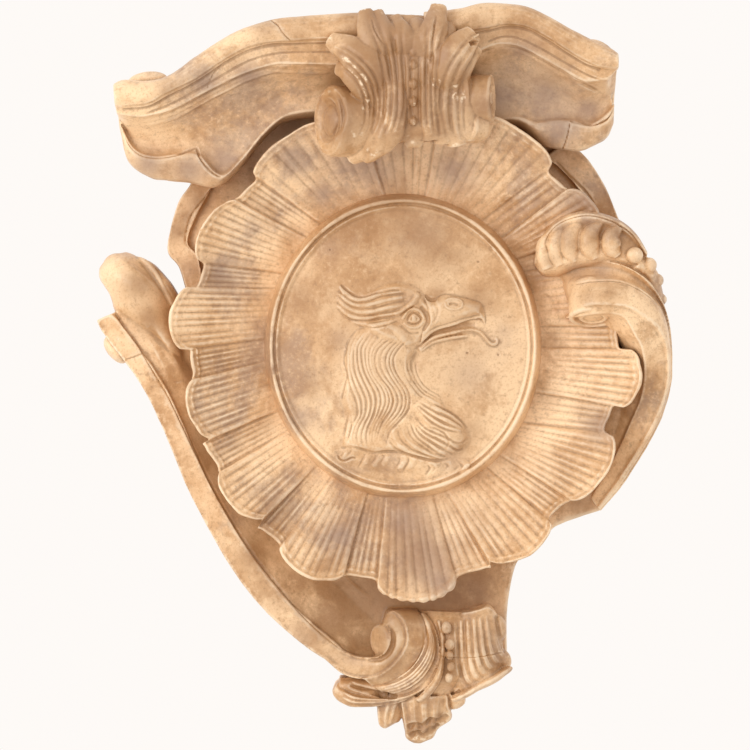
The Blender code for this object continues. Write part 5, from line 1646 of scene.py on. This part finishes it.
@dataclass(frozen=True)
class TopClasp(Carving):
    """The acanthus clasp over the crest's middle, with the two rolls at its foot."""

    name: str = "top_clasp"
    cell: float = 0.00064
    triangles: int = 130000
    back: float = 0.030
    relax_rounds: int = 1
    wear: float = 2.6

    def form(self, forms: Forms) -> None:
        """Add the clasp's body, its lobes, its rolls and its beads."""
        self.form_body(forms)
        self.form_lobes(forms)
        self.form_rolls(forms)
        for row, level in ((289, 109), (276, 109.5), (257, 109), (240, 107), (221, 103)):
            forms.egg((9.5, row, level), (3.6, 5.2, 3.2))

    def form_body(self, forms: Forms) -> None:
        """Add the body as one mass, wide at the leaf tips and drawn in over the rolls."""
        body = (
            ((520, 150), (1110, 160), 98), ((500, 260), (1160, 260), 105), ((400, 370), (1240, 350), 108),
            ((360, 500), (1290, 460), 110), ((380, 620), (1310, 580), 110), ((420, 760), (1330, 720), 108),
            ((480, 900), (1330, 860), 105), ((530, 1050), (1320, 1000), 101), ((560, 1150), (1280, 1090), 96),
        )
        forms.bolster(CLASP_SHEET.pairs(body), foot=24, drop=9)

    def form_lobes(self, forms: Forms) -> None:
        """Add the leaf lobes that stand out at the top, the sides and the foot."""
        # Half the depth of each kind of lobe from its foot to its tip
        leaf, thick, side, low = (7, 7, 6, 4), (7, 8, 8, 5), (7, 7, 6, 5), (7, 8, 7, 5)
        curl, rib, last = (8, 8, 7, 6), (6, 6, 6, 5), (6, 7, 6, 5)
        lobes = (
            ([(660, 560), (590, 400), (540, 260), (510, 125)], (99, 109, 108, 102), (13, 13, 10, 5), leaf),
            ([(740, 520), (690, 380), (640, 260), (600, 135)], (100, 109, 108, 101), (12, 12, 9, 4), leaf),
            ([(840, 520), (810, 380), (770, 270), (730, 175)], (100, 109, 107, 100), (12, 12, 9, 5), leaf),
            ([(900, 560), (920, 400), (920, 280), (910, 200)], (100, 108, 106, 100), (12, 11, 9, 5), leaf),
            ([(960, 560), (1010, 400), (1050, 240), (1080, 85)], (99, 109, 109, 101), (13, 14, 11, 6), leaf),
            ([(1030, 560), (1090, 420), (1130, 310), (1160, 225)], (99, 107, 105, 99), (12, 11, 9, 5), leaf),
            ([(1060, 760), (1130, 590), (1230, 430), (1350, 305)], (97, 109, 111, 106), (13, 15, 14, 8),
             thick),
            ([(1140, 760), (1220, 600), (1300, 500), (1380, 410)], (96, 105, 106, 102), (12, 12, 9, 5), side),
            ([(700, 760), (560, 580), (410, 450), (235, 348)], (97, 109, 109, 101), (14, 16, 14, 6), thick),
            ([(620, 860), (500, 700), (400, 600), (300, 560)], (95, 105, 106, 100), (13, 13, 11, 6), low),
            ([(580, 1190), (700, 1090), (745, 930), (745, 750), (740, 560)], (92, 100, 105, 107, 101),
             (9, 10, 9, 8, 6), (6, 7, 7, 6, 5)),
            ([(490, 1225), (590, 1170), (640, 1040), (640, 880)], (89, 95, 101, 98), (9, 10, 9, 7), curl),
            ([(400, 1235), (500, 1190), (560, 1080), (560, 940)], (85, 92, 99, 96), (8, 9, 9, 7), curl),
            ([(1040, 1110), (1020, 960), (1010, 780), (1010, 620)], (94, 101, 106, 101), (9, 9, 8, 7), rib),
            ([(1130, 1140), (1110, 980), (1110, 800), (1130, 640)], (92, 99, 103, 99), (9, 9, 8, 7), rib),
            ([(1225, 1155), (1195, 1000), (1200, 820), (1235, 660)], (91, 97, 101, 97), (9, 9, 8, 7), rib),
            ([(1300, 1120), (1290, 980), (1300, 840), (1320, 740)], (90, 94, 98, 94), (8, 8, 7, 6), last),
            ([(820, 1125), (890, 1095), (960, 1125)], (90, 92, 90), (7, 9, 7), (6, 7, 6)),
        )
        for drawn, levels, widths, depths in lobes:
            flat = CLASP_SHEET.place(drawn)
            forms.sweep(np.column_stack((flat, levels)), np.add(widths, 2), np.multiply(depths, 0.7))

    def form_rolls(self, forms: Forms) -> None:
        """Add the left roll, whose face looks left, and the narrow right roll, seen on edge."""
        left = 35.5 * STEP
        forms.turned((-60, 222, 88), (-0.90, -0.44, 0.0), (
            (left * 0.75, -0.030), (left * 0.92, -0.016), (left, -0.010), (left * 0.99, 0.000),
            (left, 0.0070), (left * 0.95, 0.0100), (left * 0.82, 0.0118), (left * 0.64, 0.0112),
            (left * 0.54, 0.0092), (left * 0.44, 0.0088), (left * 0.36, 0.0104), (left * 0.22, 0.0120),
            (left * 0.02, 0.0124),
        ))
        right = 23.5 * STEP
        forms.turned((76, 245, 88), (0.985, -0.17, 0.0), (
            (right * 0.8, -0.012), (right * 0.97, -0.004), (right, -0.002), (right * 0.97, 0.0010),
            (right * 0.97, 0.0062), (right, 0.0072), (right * 0.95, 0.0084), (right * 0.75, 0.0082),
            (right * 0.6, 0.0060), (right * 0.35, 0.0060), (right * 0.25, 0.0080), (right * 0.02, 0.0082),
        ))
        ring = 19 * STEP
        forms.turned((65, 219, 86), (-0.75, -0.66, 0.0), (
            (ring * 0.8, -0.012), (ring, -0.006), (ring, 0.0035), (ring * 0.88, 0.0050), (ring * 0.7, 0.0045),
            (ring * 0.6, 0.0020), (ring * 0.4, 0.0018), (ring * 0.3, 0.0040), (ring * 0.02, 0.0046),
        ))

    def strokes(self) -> list[Stroke]:
        """Cut the fluting between the leaves' ribs, and the bead row's two fillets."""
        fans = (
            ([(530, 170), (560, 290), (610, 420), (650, 600), (665, 800), (640, 1000), (580, 1130)],
             [(790, 210), (795, 330), (800, 480), (812, 650), (815, 800), (810, 930), (770, 1060)], 4),
            ([(985, 220), (985, 330), (985, 480), (985, 650), (985, 800), (985, 930), (1000, 1080)],
             [(1140, 230), (1105, 340), (1075, 460), (1060, 620), (1060, 800), (1070, 950), (1095, 1100)], 3),
            ([(1360, 300), (1270, 400), (1180, 530), (1115, 680), (1095, 860), (1115, 1000), (1155, 1120)],
             [(1380, 440), (1330, 540), (1275, 640), (1240, 780), (1235, 900), (1245, 1020), (1270, 1130)],
             3),
            ([(260, 380), (390, 440), (510, 540), (595, 660), (625, 820), (600, 980), (530, 1130)],
             [(330, 570), (400, 630), (460, 700), (500, 790), (520, 900), (510, 1010), (450, 1130)], 4),
        )
        strokes = []
        for first, last, count in fans:
            lines = [CLASP_SHEET.place(line) for line in fan(first, last, count)]
            strokes += [Stroke(line, 2.8, -0.9, Cut.ROUND, 0.35) for line in lines]
            strokes += [Stroke((near + far) / 2, 2.8, 0.5, Cut.ROUND, 0.35)
                        for near, far in zip(lines, lines[1:])]
        for line in ([(832, 470), (838, 650), (840, 850), (850, 1040)],
                     [(958, 450), (958, 650), (958, 850), (965, 1040)]):
            strokes.append(Stroke(CLASP_SHEET.place(line), 2.4, 1.2, Cut.ROUND, 0.3))
        for line in ([(865, 480), (868, 650), (872, 850), (880, 1030)],
                     [(927, 480), (927, 650), (927, 850), (935, 1030)]):
            strokes.append(Stroke(CLASP_SHEET.place(line), 2.0, -1.1, Cut.ROUND, 0.3))
        crescent = CLASP_SHEET.place([(235, 755), (290, 800), (325, 870), (335, 950), (318, 1030),
                                      (270, 1090)])
        strokes.append(Stroke(crescent, 5, -3.0, Cut.ROUND, 0.4))
        veins = ([(560, 190), (590, 290), (650, 400)], [(1060, 170), (1040, 300), (1020, 420)])
        strokes += CLASP_SHEET.strokes([(vein, 1.4, -1.2) for vein in veins], 0.4)
        mouth = CLASP_SHEET.place([(1320, 395), (1350, 380), (1385, 385)])
        tip = CLASP_SHEET.place([(1330, 350), (1380, 320), (1410, 290)])
        strokes += [Stroke(mouth, 2.6, -4.0, Cut.ROUND), Stroke(tip, 1.6, 1.5, Cut.ROUND)]
        return strokes

    def stains(self) -> list[Stain]:
        """The brown skin of the whole clasp, with grey down its middle."""
        browned = ((355, 60, 30), (372, 95, 34), (345, 110, 22), (395, 45, 28), (440, 40, 28), (425, 90, 34),
                   (460, 85, 24), (340, 135, 20), (480, 110, 20), (400, 125, 26), (370, 20, 16),
                   (435, 125, 22), (405, 85, 90))
        smoky = ((408, 60, 26), (405, 110, 24), (380, 30, 22), (425, 25, 16), (482, 110, 12), (385, 80, 18),
                 (340, 120, 16), (440, 60, 16))
        return stains(browned, Patina.BROWNED, 0.95) + stains(smoky, Patina.SMOKY, 0.85)

    def chips(self) -> list[Chip]:
        """The bruised ribs and tips."""
        seen = (((235, 350), 6), ((370, 500), 6), ((420, 600), 5), ((480, 670), 5), ((500, 760), 5),
                ((520, 860), 5), ((460, 1080), 6), ((1060, 690), 4), ((1220, 760), 6), ((1250, 800), 4),
                ((1390, 320), 4), ((890, 870), 3), ((890, 1000), 3), ((640, 120), 4), ((1060, 90), 5),
                ((500, 110), 4), ((560, 1220), 6), ((1200, 1140), 5), ((860, 1120), 4), ((1400, 600), 3))
        return CLASP_SHEET.chips((place, radius * 1.3) for place, radius in seen)


@dataclass(frozen=True)
class RightScroll(Carving):
    """The C-scroll on the right, with the little gadrooned shell above it."""

    name: str = "right_scroll"
    back: float = 0.0012
    cell: float = 0.00070
    triangles: int = 120000
    relax_rounds: int = 1

    def form(self, forms: Forms) -> None:
        """Add the ribbon, its roll, the shell and the beads."""
        self.form_ribbon(forms)
        self.form_roll(forms)
        self.form_shell(forms)

    def form_ribbon(self, forms: Forms) -> None:
        """Add the ribbon: a raised back edge, a channel, a rounded band, an arris, its inner side."""
        stations = (
            ((152, 72), (162, 60), (165, 44), (169, 38), 51, 55, 59),
            ((161, 80), (169, 62), (167, 36), (168, 29), 60, 69, 77),
            ((186, 85), (186, 64), (186, 41), (187, 31), 69, 79, 90),
            ((214.6, 82), (209, 64.5), (209, 40.4), (208, 31), 76, 83, 91),
            ((237, 70), (226, 60), (226, 37), (219, 26), 76, 82, 89),
            ((252, 54), (243, 50), (243, 26.6), (229, 10), 68, 76, 84),
            ((262, 36), (257, 34), (254, 17), (236, -3), 60, 70, 79),
            ((268, 12), (265, 9), (262, 1), (239, -20), 51, 63, 72),
            ((269.5, -18), (267, -21), (265, -25), (239, -38), 48, 57, 64),
            ((267, -45), (265, -46), (262, -48), (236, -54), 45, 52, 57),
            ((255, -82), (253, -81), (250, -80), (228, -74), 41, 46, 49),
            ((226, -132), (224, -131), (221, -128), (209, -116), 35, 39, 41),
            ((199, -166), (198, -165), (196, -163), (189, -152), 29, 32, 33),
        )
        rings = []
        for index, (back, crease, arris, inner, low, middle, high) in enumerate(stations):
            undercut = min(22, 7 * index)
            wall = np.array(inner) * (1 - undercut / np.linalg.norm(inner))
            rings.append((
                (*mix(back, inner, 0.15), BEHIND), (*back, low * 0.5), (*back, low - 1),
                (*mix(back, crease, 0.14), low + 0.8), (*mix(back, crease, 0.34), low - 1.6),
                (*mix(back, crease, 0.70), (low + middle) / 2 - 3.2),
                (*mix(back, crease, 0.94), middle - 1.2), (*crease, middle),
                (*mix(crease, arris, 0.3), middle * 0.42 + high * 0.58),
                (*mix(crease, arris, 0.68), middle * 0.12 + high * 0.88),
                (*mix(crease, arris, 0.94), high), (*mix(arris, inner, 0.05), high - 0.2),
                (*mix(arris, inner, 0.18), high - 2.0), (*mix(arris, inner, 0.6), high - 3.0),
                (*mix(arris, inner, 0.95), high - 4.2), (*inner, high - 7),
                (*mix(inner, wall, 0.5), high * 0.78), (*wall, high * 0.6), (*wall, BEHIND),
            ))
        forms.sections(rings, round_by=2)
        floor = (((200, 36), (240, 32), 46), ((205, 0), (246, 0), 46), ((205, -30), (246, -35), 43),
                 ((198, -70), (238, -78), 38), ((186, -112), (216, -124), 33))
        forms.bolster(floor, drop=2)

    def form_roll(self, forms: Forms) -> None:
        """Add the roll under the ribbon's upper end, its spiral face looking down and forward."""
        radius, half = 24.5 * STEP, 20 * STEP
        forms.turned((188.8, 46, 68), (0.0, -0.35, -0.937), (
            (radius * 0.6, -half), (radius * 0.8, -half * 0.8), (radius * 0.94, -half * 0.4),
            (radius * 0.99, 0.0), (radius, half * 0.9), (radius * 0.97, half), (radius * 0.86, half + 0.0003),
            (radius * 0.81, half - 0.0006), (radius * 0.77, half - 0.0024), (radius * 0.62, half - 0.0026),
            (radius * 0.57, half - 0.0002), (radius * 0.46, half + 0.0006), (radius * 0.42, half - 0.0010),
            (radius * 0.2, half - 0.0004), (radius * 0.02, half - 0.0002),
        ))

    def form_shell(self, forms: Forms) -> None:
        """Add the shell's cupped rim, its teardrop lobes and its run of beads."""
        rim = ((131, 83), (133, 92), (140, 110), (153, 125), (172, 132.5), (192, 132.5), (215, 125),
               (232, 111), (243, 93))
        base = ((135, 76), (140, 74), (150, 76), (160, 80), (172, 84), (190, 86), (208, 86), (226, 80),
                (238, 72))
        forms.sections([(
            (*top, 22), (*mix(top, low, -0.02), 56 + lift), (*mix(top, low, 0.03), 66 + lift),
            (*mix(top, low, 0.10), 68.5 + lift), (*mix(top, low, 0.20), 67.5 + lift),
            (*mix(top, low, 0.30), 65 + lift), (*mix(top, low, 0.55), 66 + lift),
            (*mix(top, low, 0.85), 68 + lift), (*low, 67 + lift), (*mix(top, low, 1.12), 60 + lift),
            (*mix(top, low, 1.2), 50), (*mix(top, low, 1.2), 22),
        ) for top, low, lift in zip(rim, base, (-12, -2, 1, 4, 7, 10, 10, 8, 6))], round_by=2)
        drops = (
            ([(240, 600), (205, 500), (205, 390), (270, 280)], (6, 7.5, 7, 3), 67),
            ([(345, 575), (300, 470), (315, 340), (400, 245)], (5, 8, 8, 3), 69),
            ([(480, 540), (430, 440), (440, 310), (530, 205)], (4, 9.5, 9.5, 3.5), 72),
            ([(650, 520), (600, 430), (600, 310), (690, 205)], (4, 10, 9.5, 3.5), 76),
            ([(835, 500), (785, 430), (780, 330), (850, 250)], (4, 9.5, 9, 3.5), 78),
        )
        for drawn, widths, level in drops:
            flat = SCROLL_SHEET.place(drawn)
            depths = [width * STEP / LEVEL for width in widths]
            forms.sweep(np.column_stack((flat, (level, level, level, level - 1))), widths, depths)
        for (across, down), radius, level in (((980, 490), 8.3, 78), ((1110, 572), 7.5, 70),
                                              ((1182, 705), 6.6, 62), ((1228, 868), 5.4, 54)):
            place = SCROLL_SHEET.place((across, down))
            forms.egg((*place, level), (radius, radius, radius * STEP / LEVEL))
        forms.sweep(((226, 86, 68), (244, 72, 58), (252, 50, 50), (256, 30, 44)), (9, 9, 8, 6),
                    (12, 12, 12, 10))

    def strokes(self) -> list[Stroke]:
        """Cut the shell's inner arcs and the ribbon's lines."""
        drawn = (
            ([(235, 470), (215, 360), (300, 235), (440, 165), (600, 145), (790, 200), (930, 290),
              (1020, 400)], 1.2, -1.3, Cut.VEE),
            ([(470, 742), (600, 716), (800, 712), (950, 752), (1100, 842), (1200, 930)], 1.2, -1.0, Cut.VEE),
        )
        return SCROLL_SHEET.strokes(drawn, 0.06)

    def stains(self) -> list[Stain]:
        """The grey channel of the ribbon and the brown between the shell's drops."""
        smoky = ((600, 272, 14), (575, 272, 12), (560, 230, 10), (585, 222, 10), (545, 215, 10))
        browned = ((565, 245, 14), (590, 238, 14), (612, 232, 14), (632, 240, 12), (610, 292, 14),
                   (585, 298, 14), (548, 262, 10))
        return stains(smoky, Patina.SMOKY, 0.7) + stains(browned, Patina.BROWNED, 0.6)

    def chips(self) -> list[Chip]:
        """White flakes along the ribbon's bright edge, and a bruised bead."""
        seen = (((880, 950), 3.5), ((960, 970), 4), ((1060, 1020), 4.5), ((1110, 1050), 4.5),
                ((1180, 1120), 5), ((1240, 1170), 4), ((720, 915), 3), ((990, 470), 3.5),
                ((1180, 700), 2.5), ((560, 912), 2.5), ((880, 1090), 4))
        return SCROLL_SHEET.chips(seen, 1.2)


@dataclass(frozen=True)
class BottomClasp(Carving):
    """The leaf clasp under the volute: crescent leaves, bead row, reeded shell and drooping tips."""

    name: str = "bottom_clasp"
    back: float = 0.0016
    cell: float = 0.00064
    triangles: int = 120000
    relax_rounds: int = 1
    wear: float = 1.5

    def form(self, forms: Forms) -> None:
        """Add the bed, the crescents, the shell, the tips and the beads."""
        self.form_bed(forms)
        self.form_crescents(forms)
        self.form_shell(forms)
        self.form_tips(forms)
        for across, down, radius, level in ((943, 352, 5.0, 60), (968, 475, 4.6, 63), (965, 555, 3.8, 62.5),
                                            (975, 640, 3.8, 62.5), (962, 722, 4.0, 61)):
            forms.egg((*FOOT_SHEET.place((across, down)), level - 1), (radius, radius * 1.25, 3.8))

    def ridge(self, forms: Forms, stations: Pairs,
              drop: float) -> None:
        """Raise a rounded ridge between two lines of the foot sheet.

        Args:
            forms: where the ridge is added.
            stations: left place, right place and crown level, one after another.
            drop: how far its sides lie below its crown.
        """
        forms.bolster(FOOT_SHEET.pairs(stations), drop=drop)

    def form_bed(self, forms: Forms) -> None:
        """Add the mass that carries the leaves."""
        self.ridge(forms, (
            ((740, 235), (1300, 240), 49), ((760, 300), (1340, 300), 54), ((770, 400), (1350, 400), 57),
            ((740, 560), (1340, 560), 57), ((640, 700), (1330, 660), 55), ((500, 800), (1150, 780), 50),
            ((440, 900), (1050, 880), 41),
        ), 14)
        self.ridge(forms, (
            ((145, 742), (140, 870), 33), ((280, 730), (280, 900), 37), ((390, 725), (400, 905), 40),
            ((520, 700), (560, 870), 42),
        ), 8)

    def form_crescents(self, forms: Forms) -> None:
        """Add the leaves that wrap the volute, from its top right to the tip on the far left."""
        self.ridge(forms, (
            ((738, 255), (775, 245), 49), ((765, 330), (842, 322), 55), ((775, 425), (882, 420), 59),
            ((760, 520), (892, 530), 60), ((705, 620), (868, 650), 59), ((625, 695), (810, 745), 56),
            ((525, 745), (735, 830), 52), ((430, 772), (610, 875), 48), ((385, 790), (500, 868), 43),
        ), 8)
        self.ridge(forms, (
            ((830, 700), (880, 680), 54), ((745, 815), (800, 800), 51), ((610, 872), (655, 892), 48),
            ((500, 865), (545, 934), 45), ((380, 865), (400, 956), 42), ((250, 842), (245, 962), 39),
            ((165, 800), (145, 925), 36), ((140, 770), (92, 862), 33), ((168, 750), (115, 790), 29),
        ), 8)
        self.ridge(forms, (
            ((872, 300), (900, 300), 53), ((900, 430), (930, 430), 59), ((898, 560), (932, 560), 61),
            ((860, 700), (915, 705), 59), ((785, 820), (850, 830), 53), ((700, 900), (770, 920), 46),
        ), 6)

    def form_shell(self, forms: Forms) -> None:
        """Add the fluted shell on the right, its ragged right edge and its curled lower edge."""
        self.ridge(forms, (
            ((1000, 300), (1005, 850), 50), ((1055, 236), (1085, 858), 57), ((1120, 222), (1170, 812), 60),
            ((1190, 206), (1245, 765), 59), ((1252, 190), (1300, 738), 56), ((1305, 230), (1350, 705), 51),
            ((1350, 300), (1385, 690), 46),
        ), 10)
        forms.egg((*FOOT_SHEET.place((1345, 360)), 40), (7, 13, 8), tilt=10)
        forms.egg((*FOOT_SHEET.place((1370, 600)), 38), (8, 11, 8), tilt=20)
        brim = FOOT_SHEET.place([(1392, 680), (1290, 742), (1180, 795), (1090, 848), (1020, 880)])
        forms.sweep(np.column_stack((brim, (38, 43, 46, 45, 42))), (4, 5, 5, 5, 4), (12, 13, 13, 12, 10))

    def form_tips(self, forms: Forms) -> None:
        """Add the leaf tips that droop under the clasp: left, middle and the small one on the right."""
        self.ridge(forms, (
            ((430, 900), (640, 880), 42), ((432, 990), (612, 980), 38), ((436, 1060), (600, 1062), 33),
            ((445, 1105), (560, 1095), 29), ((470, 1132), (510, 1126), 24),
        ), 9)
        self.ridge(forms, (
            ((590, 880), (960, 870), 46), ((605, 960), (965, 950), 43), ((622, 1060), (985, 1052), 39),
            ((636, 1140), (885, 1135), 35), ((648, 1205), (850, 1200), 31), ((700, 1242), (775, 1240), 27),
        ), 9)
        self.ridge(forms, (
            ((930, 860), (1075, 868), 41), ((945, 920), (1092, 930), 37), ((955, 965), (1045, 975), 32),
            ((985, 985), (1015, 985), 28),
        ), 8)

    def strokes(self) -> list[Stroke]:
        """Cut the crescents' fluting, the shell's lines and the tips' veins."""
        inner = fan([(775, 330), (800, 420), (790, 520), (735, 620), (650, 710), (540, 768), (440, 790)],
                    [(828, 335), (866, 430), (870, 540), (835, 645), (765, 740), (660, 820), (540, 855)], 5)
        outer = fan([(760, 830), (640, 890), (540, 885), (400, 885), (260, 868), (180, 830)],
                    [(780, 840), (650, 905), (540, 918), (400, 935), (250, 940), (160, 905)], 3)
        shell = fan([(1025, 300), (1030, 480), (1040, 640), (1075, 760), (1130, 800)],
                    [(1310, 245), (1330, 350), (1345, 440), (1375, 520), (1410, 570)], 7)
        left_tip = fan([(480, 920), (470, 1000), (465, 1060), (480, 1110)],
                       [(600, 900), (575, 980), (555, 1050), (530, 1110)], 3)
        middle_tip = fan([(640, 900), (650, 1000), (665, 1100), (690, 1210)],
                         [(920, 890), (905, 970), (900, 1050), (860, 1150)], 4)
        strokes = []
        for lines, width, rise in ((inner, 2.1, -0.9), (outer, 2.0, -0.7), (shell, 2.8, -0.9),
                                   (left_tip, 3.0, -0.6), (middle_tip, 4.0, -0.8)):
            placed = [FOOT_SHEET.place(line) for line in lines]
            strokes += [Stroke(line, width, rise, Cut.ROUND, 0.2) for line in placed]
            strokes += [Stroke((near + far) / 2, width, -0.5 * rise, Cut.ROUND, 0.2)
                        for near, far in zip(placed, placed[1:])]
        hollow = FOOT_SHEET.place([(225, 790), (300, 822), (390, 845), (480, 862), (580, 880)])
        notch = FOOT_SHEET.place([(985, 868), (1020, 850), (1045, 825)])
        seam = FOOT_SHEET.place([(880, 560), (1000, 575), (1120, 575), (1250, 560), (1370, 540)])
        breaks = ([(650, 1125), (705, 1095), (765, 1110), (830, 1060), (900, 1070), (955, 1015)],
                  [(665, 1190), (720, 1160), (780, 1182), (850, 1130), (905, 1110)])
        strokes += [Stroke(hollow, 3.4, -4, Cut.ROUND, 0.2), Stroke(notch, 2.5, -1.8, Cut.ROUND),
                    Stroke(seam, 0.8, -0.8, Cut.VEE)]
        strokes += FOOT_SHEET.strokes([(line, 4.0, -2.6) for line in breaks], 0.1)
        return strokes

    def stains(self) -> list[Stain]:
        """The brown beside the volute and over the shell's right half, and grey on the middle tip."""
        browned = ((430, 640, 14), (480, 640, 20), (500, 625, 16), (445, 660, 12), (365, 695, 16),
                   (425, 730, 12), (495, 665, 16), (415, 735, 12), (425, 728, 10), (350, 688, 9),
                   (385, 696, 9))
        smoky = ((465, 610, 14), (410, 720, 12), (430, 700, 12), (498, 645, 10))
        beads = tuple((447, down, 8) for down in (628, 644, 655, 666, 678))
        broken = ((412, 733, 8), (422, 731, 8), (432, 725, 8), (440, 717, 7))
        return (stains(browned, Patina.BROWNED, 0.5) + stains(beads + broken, Patina.BROWNED, 0.95)
                + stains(smoky, Patina.SMOKY, 0.4))

    def chips(self) -> list[Chip]:
        """The broken tips and bruised ribs."""
        seen = (((700, 1215), 6), ((745, 1195), 7), ((795, 1205), 6), ((850, 1160), 6), ((905, 1120), 6),
                ((960, 1070), 5), ((660, 1190), 5), ((930, 1080), 5), ((480, 1110), 4),
                ((740, 690), 4), ((640, 790), 4), ((1350, 430), 4), ((1270, 610), 4), ((800, 1040), 4),
                ((640, 500), 3), ((1380, 640), 4), ((970, 720), 3))
        return FOOT_SHEET.chips(seen)


@dataclass(frozen=True)
class Studio:
    """The pale floor, the soft studio light and the camera that looks straight at the carving."""

    distance: float = 3.4
    frame_width: float = 0.5074
    subject_depth: float = 0.050
    aim_column: float = -28.0
    aim_row: float = -29.0
    floor_drop: float = 0.75
    floor_radius: float = 1.6
    world: Colour = (0.99, 0.955, 0.925)
    world_strength: float = 1.0
    key_place: tuple[float, ...] = (0.65, -1.5, -1.05)
    key_size: float = 0.7
    key_power: float = 24.0
    fill_place: tuple[float, ...] = (-1.2, -1.4, 0.3)
    fill_size: float = 1.2
    fill_power: float = 14.0

    def set_floor(self, finish: FloorFinish) -> bpy.types.Object:
        """Lay a round pale floor below the carving."""
        work = bmesh.new()
        bmesh.ops.create_circle(work, cap_ends=True, segments=96, radius=self.floor_radius)
        mesh = bpy.data.meshes.new("floor")
        work.to_mesh(mesh)
        work.free()
        mesh.materials.append(finish.material())
        floor = bpy.data.objects.new("floor", mesh)
        floor.location = (0.0, -0.4, -self.floor_drop)
        bpy.context.collection.objects.link(floor)
        return floor

    def set_world(self) -> None:
        """Fill the studio with even, slightly warm light."""
        world = bpy.data.worlds.new("studio")
        world.use_nodes = True
        back = world.node_tree.nodes["Background"]
        back.inputs["Color"].default_value = (*self.world, 1.0)
        back.inputs["Strength"].default_value = self.world_strength
        bpy.context.scene.world = world

    def set_light(self, name: str, place: Sequence[float], size: float, power: float,
                  colour: Colour = (1.0, 0.97, 0.93)) -> None:
        """Hang a soft box that looks at the carving.

        Args:
            name: the lamp's name.
            place: where it hangs, in metres.
            size: its side in metres.
            power: its power in watts.
            colour: its colour.
        """
        data = bpy.data.lights.new(name, "AREA")
        data.shape = "SQUARE"
        data.size = size
        data.energy = power
        data.color = colour
        lamp = bpy.data.objects.new(name, data)
        lamp.location = place
        lamp.rotation_euler = (Vector((0, -0.05, 0)) - Vector(place)).to_track_quat("-Z", "Y").to_euler()
        bpy.context.collection.objects.link(lamp)

    def set_camera(self) -> bpy.types.Object:
        """Put the camera straight in front, its frame as wide as the drawing."""
        data = bpy.data.cameras.new("camera")
        data.sensor_width = 36.0
        data.lens = data.sensor_width * self.distance / self.frame_width
        data.dof.use_dof = False
        camera = bpy.data.objects.new("camera", data)
        camera.location = (self.aim_column * STEP, -self.subject_depth - self.distance,
                           self.aim_row * STEP)
        camera.rotation_euler = (math.radians(90), 0.0, 0.0)
        bpy.context.collection.objects.link(camera)
        bpy.context.scene.camera = camera
        return camera

    def build(self, finish: FloorFinish) -> None:
        """Set up the whole studio."""
        bpy.context.scene.view_settings.view_transform = "Standard"
        self.set_floor(finish)
        self.set_world()
        self.set_light("key", self.key_place, self.key_size, self.key_power)
        self.set_light("fill", self.fill_place, self.fill_size, self.fill_power)
        self.set_camera()


def main() -> None:
    """Carve every part of the cartouche in order, and set up the studio."""
    logging.basicConfig(level=logging.INFO, format="%(name)s %(message)s")
    marble = MarbleFinish().material()
    carvings: tuple[Carving, ...] = (
        Slab(), Frill(), Medallion(), Crest(), TopClasp(), RightScroll(), BottomClasp(),
    )
    for carving in carvings:
        piece = carving.build(marble)
        LOG.info("%s: %d faces", piece.name, len(piece.data.polygons))
    Studio().build(FloorFinish())


if __name__ == "__main__":
    main()
